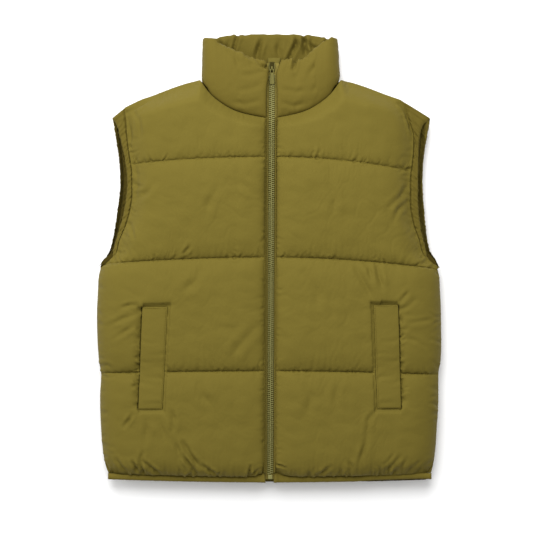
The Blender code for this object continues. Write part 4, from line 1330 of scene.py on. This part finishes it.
def makeWelt(side):
    size, sign = welts[side], sides[side]
    across, up = ovalRing(0.5, weltStrip["thick"], weltStrip["steps"], 0.28)
    place = across + 0.5
    rings = []
    for share in np.linspace(0, 1, weltStrip["rings"]):
        y = blend(size["footY"], size["topY"], share)
        fromEnd = min(share, 1 - share) * (size["topY"] - size["footY"])
        taper = math.sqrt(max(0.05, 1 - (1 - min(fromEnd / 1.6, 1)) ** 2))
        level = weltZ(share) + 0.1 + weltStrip["thick"] / 2
        x = sign * blend(*weltEdges(size, share), place)
        waves = rolling(np.column_stack([x, np.full(len(x), y)]), (22.0, 34.0), 71) * 0.6
        crown = 1.2 * np.sin(np.clip(place, 0, 1) * math.pi) + waves * np.sin(place * math.pi)
        rings.append(np.column_stack([x, np.full(len(x), y), level + up * taper + crown]))
    rings = np.array(rings)
    folds = []
    for start, end, depth in weltCreases:
        route = [(sign * blend(*weltEdges(size, share), out), blend(size["footY"], size["topY"], share))
                 for out, share in (start, end)]
        folds.append((route, depth, weltStrip["creaseWidth"]))
    upper = rings[..., 2] > rings[..., 2].mean(1, keepdims=True)
    upward = 1 if gridNormals(rings)[40, weltStrip["steps"] // 2, 2] > 0 else -1
    rings = addCreases(rings, folds, where=upper, outward=upward)
    piece = ringPiece(f"welt_{side}", rings, shell, (f"pocket_welt_{side}",))
    return weltSeams(side)


def weltSeams(side):
    # the stitch lines on a welt: along its inner edge, and across its foot and its top
    size, sign, inset = welts[side], sides[side], weltStrip["stitchInset"]
    share = np.linspace(0.015, 0.985, 60)
    x = weltEdges(size, share)[0] + inset
    y = blend(size["footY"], size["topY"], share)
    seams = [np.column_stack([sign * x, y, weltZ(share) + weltStrip["thick"] + 0.35])]
    bow = 1.2 * np.sin(np.linspace(0.05, 0.97, 16) * math.pi)
    for share, lift in ((0.0, inset), (1.0, -inset)):
        inner, outer = weltEdges(size, share)
        x = np.linspace(inner + inset, outer - 1, 16)
        share = share + lift / (size["topY"] - size["footY"])
        y = np.full(16, blend(size["footY"], size["topY"], share))
        seams.append(np.column_stack([sign * x, y, weltZ(share) + weltStrip["thick"] + 0.2 + bow]))
    return seams


print("welts")
weltStitches = makeWelt("right") + makeWelt("left")

# zip

zipParts = {
    "tapeHalf": 12.4, "tapeZ": 26.6, "tapeThick": 0.9, "tapeTop": 339.5,
    "toothPitch": 3.55, "toothZ": 27.9, "toothThick": 2.5, "tapeFoot": -389.3, "chainFoot": -380.4,
    "chainTop": 323.8,
    "sliderFoot": 324.4, "sliderLength": 17.0, "sliderThick": 2.9, "pullY": 328.2, "pullZ": 32.2,
    "pullLength": 27.0, "pullThick": 1.4, "boxTop": -381.3, "boxLength": 7.5,
    "boxWidth": 7.8, "boxThick": 3.9,
}
slider = {
    "bevel": 0.6, "bridgeReach": 3.4, "bridgeRise": 4.6, "bridgeHalf": 1.2, "bridgeThick": 1.3,
    "rimInset": 0.9, "rimHalf": 0.7, "rimThick": 1.5,
    "outline": [  # share up the slider, half width
        (0.0, 3.6), (0.06, 4.5), (0.3, 5.2), (0.55, 6.0), (0.75, 5.6), (0.92, 4.8), (1.0, 3.8),
    ],
}
pullTab = {
    "bevel": 0.4, "top": 0.7, "slotY": -3.6, "slot": (3.9, 5.4), "slotRound": 0.9,
    "outline": [  # share down the tab, half width
        (0, 3.2), (0.08, 3.9), (0.3, 2.9), (0.6, 3.7), (0.9, 4.2), (0.97, 3.9), (1, 3.2),
    ],
}
guard = {"footY": 300.0, "topY": 349.0, "footHalf": 5.0, "topHalf": 12.4, "lean": 4.0, "z": 25.6,
         "thick": 1.1}
toothOutline = [
    # x out from the middle of the zip, y along it: foot, neck and head of one tooth
    (5.0, -1.0), (5.2, -0.5), (5.2, 0.5), (5.0, 1.0), (3.3, 1.15), (2.4, 0.55), (1.1, 0.5),
    (0.4, 0.82), (-0.7, 0.78), (-1.1, 0.3), (-1.1, -0.3), (-0.7, -0.78), (0.4, -0.82),
    (1.1, -0.5), (2.4, -0.55), (3.3, -1.15),
]


def makeZipTape(side):
    sign = sides[side]
    y = np.linspace(zipParts["tapeFoot"], zipParts["tapeTop"], 180)
    across, up = ovalRing((zipParts["tapeHalf"] - 0.3) / 2, zipParts["tapeThick"], 8, 0.25)
    middle = zipX(y) + sign * (zipParts["tapeHalf"] + 0.3) / 2
    rings = np.zeros((len(y), len(across), 3))
    rings[..., 0] = middle[:, None] + across
    rings[..., 1] = y[:, None]
    rings[..., 2] = zipParts["tapeZ"] + zipParts["tapeThick"] / 2 + up
    piece = ringPiece(f"tape_{side}", rings, tape, (f"zip_tape_{side}",))


def makeTeeth():
    outline = np.array(toothOutline)
    levels = ((0.0, 1.0), (0.72, 1.0), (1.0, 0.78))  # share of the height, and the outline's scale there
    count = len(outline)
    template, faces = [], []
    middle = outline.mean(0)
    for level, scale in levels:
        flat = blend(middle, outline, scale)
        template.append(np.column_stack([flat, np.full(count, level * zipParts["toothThick"])]))
    template = np.concatenate(template)
    for ring in range(len(levels) - 1):
        for k in range(count):
            n = (k + 1) % count
            a, b = ring * count, (ring + 1) * count
            faces.append((a + k, a + n, b + n, b + k))
    top = (len(levels) - 1) * count
    for a, b, c, d in ((3, 2, 1, 0), (4, 3, 0, 15), (5, 4, 15, 14), (6, 5, 14, 13),
                       (7, 6, 13, 12), (8, 7, 12, 11), (9, 8, 11, 10)):
        faces.append((top + a, top + b, top + c, top + d))
        faces.append((d, c, b, a))
    points, allFaces = [], []
    pitch = zipParts["toothPitch"]
    number = int((zipParts["chainTop"] - zipParts["chainFoot"] - 2) / pitch)
    for sign in sides.values():
        for k in range(number):
            y = zipParts["chainFoot"] + 1.2 + pitch * (k + (0.5 if sign > 0 else 0))
            start = len(points) * len(template)
            tooth = template * (sign, 1, 1) + (zipX(y), y, zipParts["toothZ"])
            points.append(tooth)
            allFaces += [tuple(start + n for n in face) for face in faces]
    newPiece("teeth_chain", np.concatenate(points), allFaces, teethPlastic,
             stands=("zip_chain",))


def plate(name, loops, thick, bevel, place, material, ridesOn, stands=()):
    # flat plate with round edges, from its outline and holes
    curve = bpy.data.curves.new(name, "CURVE")
    curve.dimensions, curve.fill_mode = "2D", "BOTH"
    curve.bevel_depth, curve.bevel_resolution = bevel * mm, 2
    curve.offset = -bevel * mm
    curve.extrude = (thick / 2 - bevel) * mm
    for loop in loops:
        spline = curve.splines.new("POLY")
        spline.points.add(len(loop) - 1)
        for target, (x, y) in zip(spline.points, loop):
            target.co = (x * mm, y * mm, 0, 1)
        spline.use_cyclic_u = True
    source = bpy.data.objects.new(name + "_outline", curve)
    bpy.context.scene.collection.objects.link(source)
    bpy.context.view_layer.update()
    mesh = bpy.data.meshes.new_from_object(source.evaluated_get(bpy.context.evaluated_depsgraph_get()))
    bpy.data.objects.remove(source)
    bm = bmesh.new()
    bm.from_mesh(mesh)
    bmesh.ops.remove_doubles(bm, verts=bm.verts[:], dist=0.002 * mm)
    bmesh.ops.recalc_face_normals(bm, faces=bm.faces[:])
    bmesh.ops.translate(bm, verts=bm.verts[:], vec=Vector(place) * mm)
    bm.to_mesh(mesh)
    bm.free()
    mesh.materials.clear()
    mesh.name = name
    return finishPiece(name, mesh, material, ridesOn, stands)


def roundedBox(centre, size, radius, corners=5):
    half = np.array(size) / 2
    loop = []
    for quarter, (sx, sy) in enumerate(((1, 1), (-1, 1), (-1, -1), (1, -1))):
        middle = np.array(centre) + (half - radius) * (sx, sy)
        for step in range(corners):
            angle = math.radians(90 * quarter + 90 * step / (corners - 1))
            loop.append(tuple(middle + radius * np.array((math.cos(angle), math.sin(angle)))))
    return loop


def makeSlider():
    y0, length = zipParts["sliderFoot"], zipParts["sliderLength"]
    middle = zipX(zipParts["pullY"])
    shares = np.linspace(0, 1, 15)
    half = readCurve(slider["outline"], shares, 1)
    outline = list(zip(middle + half, y0 + shares * length))
    outline += list(zip(middle - half[::-1], y0 + shares[::-1] * length))
    thick = zipParts["sliderThick"]
    plate("slider_body", [outline], thick, slider["bevel"], (0, 0, body["zipFloorZ"] + thick / 2),
          sliderPaintedShade, "vest", ("zip_slider",))
    route = []  # the bridge that carries the pull: up, over its bar and down
    for share in np.linspace(0, 1, 17):
        angle = math.pi * (1 - share)
        route.append((zipParts["pullY"] + 1.3 + slider["bridgeReach"] * math.cos(angle),
                      body["zipFloorZ"] + thick - 0.6 + slider["bridgeRise"] * math.sin(angle) ** 0.7))
    rings = []
    across, up = ovalRing(slider["bridgeHalf"], slider["bridgeThick"], 6, 0.6)
    for k, (y, z) in enumerate(route):
        before, after = route[max(k - 1, 0)], route[min(k + 1, len(route) - 1)]
        lean = math.atan2(after[1] - before[1], after[0] - before[0])
        rings.append([(middle + a, y - u * math.sin(lean), z + u * math.cos(lean))
                      for a, u in zip(across, up)])
    ringPiece("slider_bridge", np.array(rings), pullEnamel)
    for sign in sides.values():  # rims turned up along the two sides
        rings = []
        for share in np.linspace(0.12, 0.9, 14):
            out = sign * (float(readCurve(slider["outline"], share, 1)) - slider["rimInset"])
            size = math.sin(math.pi * (share - 0.1) / 0.82) ** 0.5
            across, up = ovalRing(slider["rimHalf"] * size, slider["rimThick"] * size, 6, 0.6)
            rings.append(np.column_stack([middle + out + across, np.full(len(across), y0 + share * length),
                                          body["zipFloorZ"] + thick + 0.2 + up]))
        ringPiece(f"slider_rim_{'left' if sign > 0 else 'right'}", np.array(rings), pullEnamel)


def makePull():
    shares = np.linspace(0, 1, 12)
    half = readCurve(pullTab["outline"], shares, 1)
    y = pullTab["top"] - shares * zipParts["pullLength"]
    outline = list(zip(half, y)) + list(zip(-half[::-1], y[::-1]))
    slot = roundedBox((0, pullTab["slotY"]), pullTab["slot"], pullTab["slotRound"])
    place = (zipX(zipParts["pullY"]), zipParts["pullY"], zipParts["pullZ"])
    plate("pull_tab", [outline, slot], zipParts["pullThick"], pullTab["bevel"], place, pullEnamel,
          "pull", ("zip_pull",))


def makeBox():
    middle = zipX(zipParts["boxTop"])
    centreY = zipParts["boxTop"] - zipParts["boxLength"] / 2
    outline = roundedBox((middle, centreY), (zipParts["boxWidth"], zipParts["boxLength"]), 1.2)
    thick = zipParts["boxThick"]
    plate("zip_foot_box", [outline], thick, 0.5, (0, 0, zipParts["tapeZ"] + thick / 2), teethPlastic,
          "vest", ("zip_box",))
    rib = roundedBox((middle + 0.4, centreY + 0.4), (1.5, 5.2), 0.7)
    plate("zip_foot_rib", [rib], 1.0, 0.3, (0, 0, zipParts["tapeZ"] + 4.15), teethPlastic,
          "vest")


def makeGuard():
    # the folded cloth behind the slider that keeps it off the chin
    y = np.linspace(guard["footY"], guard["topY"], 26)
    share = (y - guard["footY"]) / (guard["topY"] - guard["footY"])
    half = blend(guard["footHalf"], guard["topHalf"], share ** 1.6)
    centre = zipX(y) + guard["lean"] * share
    across, up = ovalRing(1.0, guard["thick"], 9, 0.3)
    rings = np.zeros((len(y), len(across), 3))
    rings[..., 0] = centre[:, None] + across * half[:, None]
    rings[..., 1] = y[:, None] + 0.5 * np.cos(across * 3)[None] * share[:, None]
    bow = 0.35 * np.sin(rings[..., 0] * 0.7) * share[:, None]
    curled = 2.6 * np.clip((np.abs(across) - 0.8) / 0.2, 0, 1) ** 2
    rings[..., 2] = guard["z"] + up + bow - curled[None]
    piece = ringPiece("zip_garage", rings, guardCloth, ("zip_guard",))


print("zip")
for side in sides:
    makeZipTape(side)
makeTeeth()
makeSlider()
makePull()
makeBox()
makeGuard()

# stitches

stitch = {"pitch": 3.4, "length": 2.5, "radius": 0.34, "zipRadius": 0.6, "sides": 5}


def stitchRows(name, routes, lift=0.0, radius=stitch["radius"], material=thread):
    points, faces = [], []
    sideCount = stitch["sides"]
    turn = np.linspace(0, 2 * math.pi, sideCount, endpoint=False)
    for route in routes:
        route = np.asarray(route, float)
        run = runAlong(route)
        for at in np.arange(stitch["pitch"] / 2, run[-1] - stitch["pitch"] / 2, stitch["pitch"]):
            ends = [pointsAt(route, run, at + d) for d in (-stitch["length"] / 2, stitch["length"] / 2)]
            along = ends[1] - ends[0]
            along /= np.linalg.norm(along) + 1e-9
            side = np.cross(along, (0, 0, 1))
            side /= np.linalg.norm(side) + 1e-9
            above = np.cross(side, along)
            start = len(points) * 4 * sideCount
            rings = []
            for share, size in ((0.0, 0.45), (0.25, 1.0), (0.75, 1.0), (1.0, 0.45)):
                sink = (1 - size) * radius * 1.2
                centre = blend(ends[0], ends[1], share) + above * (lift - sink)
                circle = np.cos(turn)[:, None] * side + np.sin(turn)[:, None] * above
                rings.append(centre + circle * radius * size)
            points.append(np.concatenate(rings))
            for ring in range(3):
                for k in range(sideCount):
                    n = (k + 1) % sideCount
                    a, b = start + ring * sideCount, start + (ring + 1) * sideCount
                    faces.append((a + k, a + n, b + n, b + k))
            faces.append(tuple(start + k for k in range(sideCount))[::-1])
            faces.append(tuple(start + 3 * sideCount + k for k in range(sideCount)))
    newPiece(name, np.concatenate(points), faces, material)


def seamRoutes(piece, lines, clearOf=None):
    # the quilt lines of a panel, as routes of points
    routes = []
    for k in lines:
        row = np.flatnonzero((piece["baffle"] == k) & (piece["shares"] == 0))[0]
        route = piece["grid"][row][3:-1]
        if clearOf is not None and k == 1:
            across, _ = weltShares(clearOf, route[:, 0], route[:, 1])
            before, after = route[across < -0.05], route[across > 1.1]
            routes += [before, after]
        else:
            routes.append(route)
    return routes


print("stitches")
for side in sides:
    stitchRows(f"stitches_front_{side}", seamRoutes(frontPieces[side], (1, 2, 3), side), 0.2,
               material=quiltThread)
zipRoutes = [blend(piece["grid"][:, 1], piece["grid"][:, 2], 0.8) for piece in frontPieces.values()]
stitchRows("stitches_zip", zipRoutes, 0.1, stitch["zipRadius"], zipThread)
backRoutes = [route - (0, 0, 0.4) for route in seamRoutes(backPiece, (1, 2, 3))]
stitchRows("stitches_back", backRoutes, material=quiltThread)
stitchRows("stitches_bands", bandStitches, 0.1)
stitchRows("stitches_welts", weltStitches, 0.15)

# camera, lights and floor

view = {"lens": 100.0, "sensor": 36.0, "width": 932.75, "aim": (-7.0, -16.6, 30.0)}
studio = {"paper": 0.93, "sky": 0.48}
lamps = {
    # place, size and power; each points at the frame's origin
    "key": ((-0.2, 1.25, 1.55), 1.9, 58),
    "fill": ((-1.6, 0.1, 0.9), 1.4, 9),
    "overhead": ((-0.1, 0.2, 2.2), 2.0, 10),
}


def makeCamera():
    camera = bpy.data.cameras.new("camera")
    camera.lens, camera.sensor_width = view["lens"], view["sensor"]
    height = view["width"] * view["lens"] / view["sensor"]
    eye = bpy.data.objects.new("camera", camera)
    x, y, z = view["aim"]
    eye.location = (x * mm, y * mm, (z + height) * mm)
    bpy.context.scene.collection.objects.link(eye)
    bpy.context.scene.camera = eye


def makeLight(name, place, size, power):
    lamp = bpy.data.lights.new(name, "AREA")
    lamp.shape, lamp.size, lamp.energy = "DISK", size, power
    light = bpy.data.objects.new(name, lamp)
    light.location = place
    light.rotation_euler = (Vector((0, 0, 0)) - Vector(place)).to_track_quat("-Z", "Y").to_euler()
    bpy.context.scene.collection.objects.link(light)


def makeStudio():
    bpy.ops.mesh.primitive_plane_add(size=8)
    floor = bpy.context.object
    floor.name = "floor"
    g = Graph("paleFloor")
    floor.data.materials.append(g.finish(Base_Color=(*[studio["paper"]] * 3, 1), Roughness=0.9))
    world = bpy.data.worlds.new("studio")
    world.use_nodes = True
    world.node_tree.nodes["Background"].inputs["Color"].default_value = (1, 1, 1, 1)
    world.node_tree.nodes["Background"].inputs["Strength"].default_value = studio["sky"]
    bpy.context.scene.world = world
    bpy.context.scene.view_settings.view_transform = "Standard"
    for name, lamp in lamps.items():
        makeLight(name, *lamp)


print("studio")
makeCamera()
makeStudio()
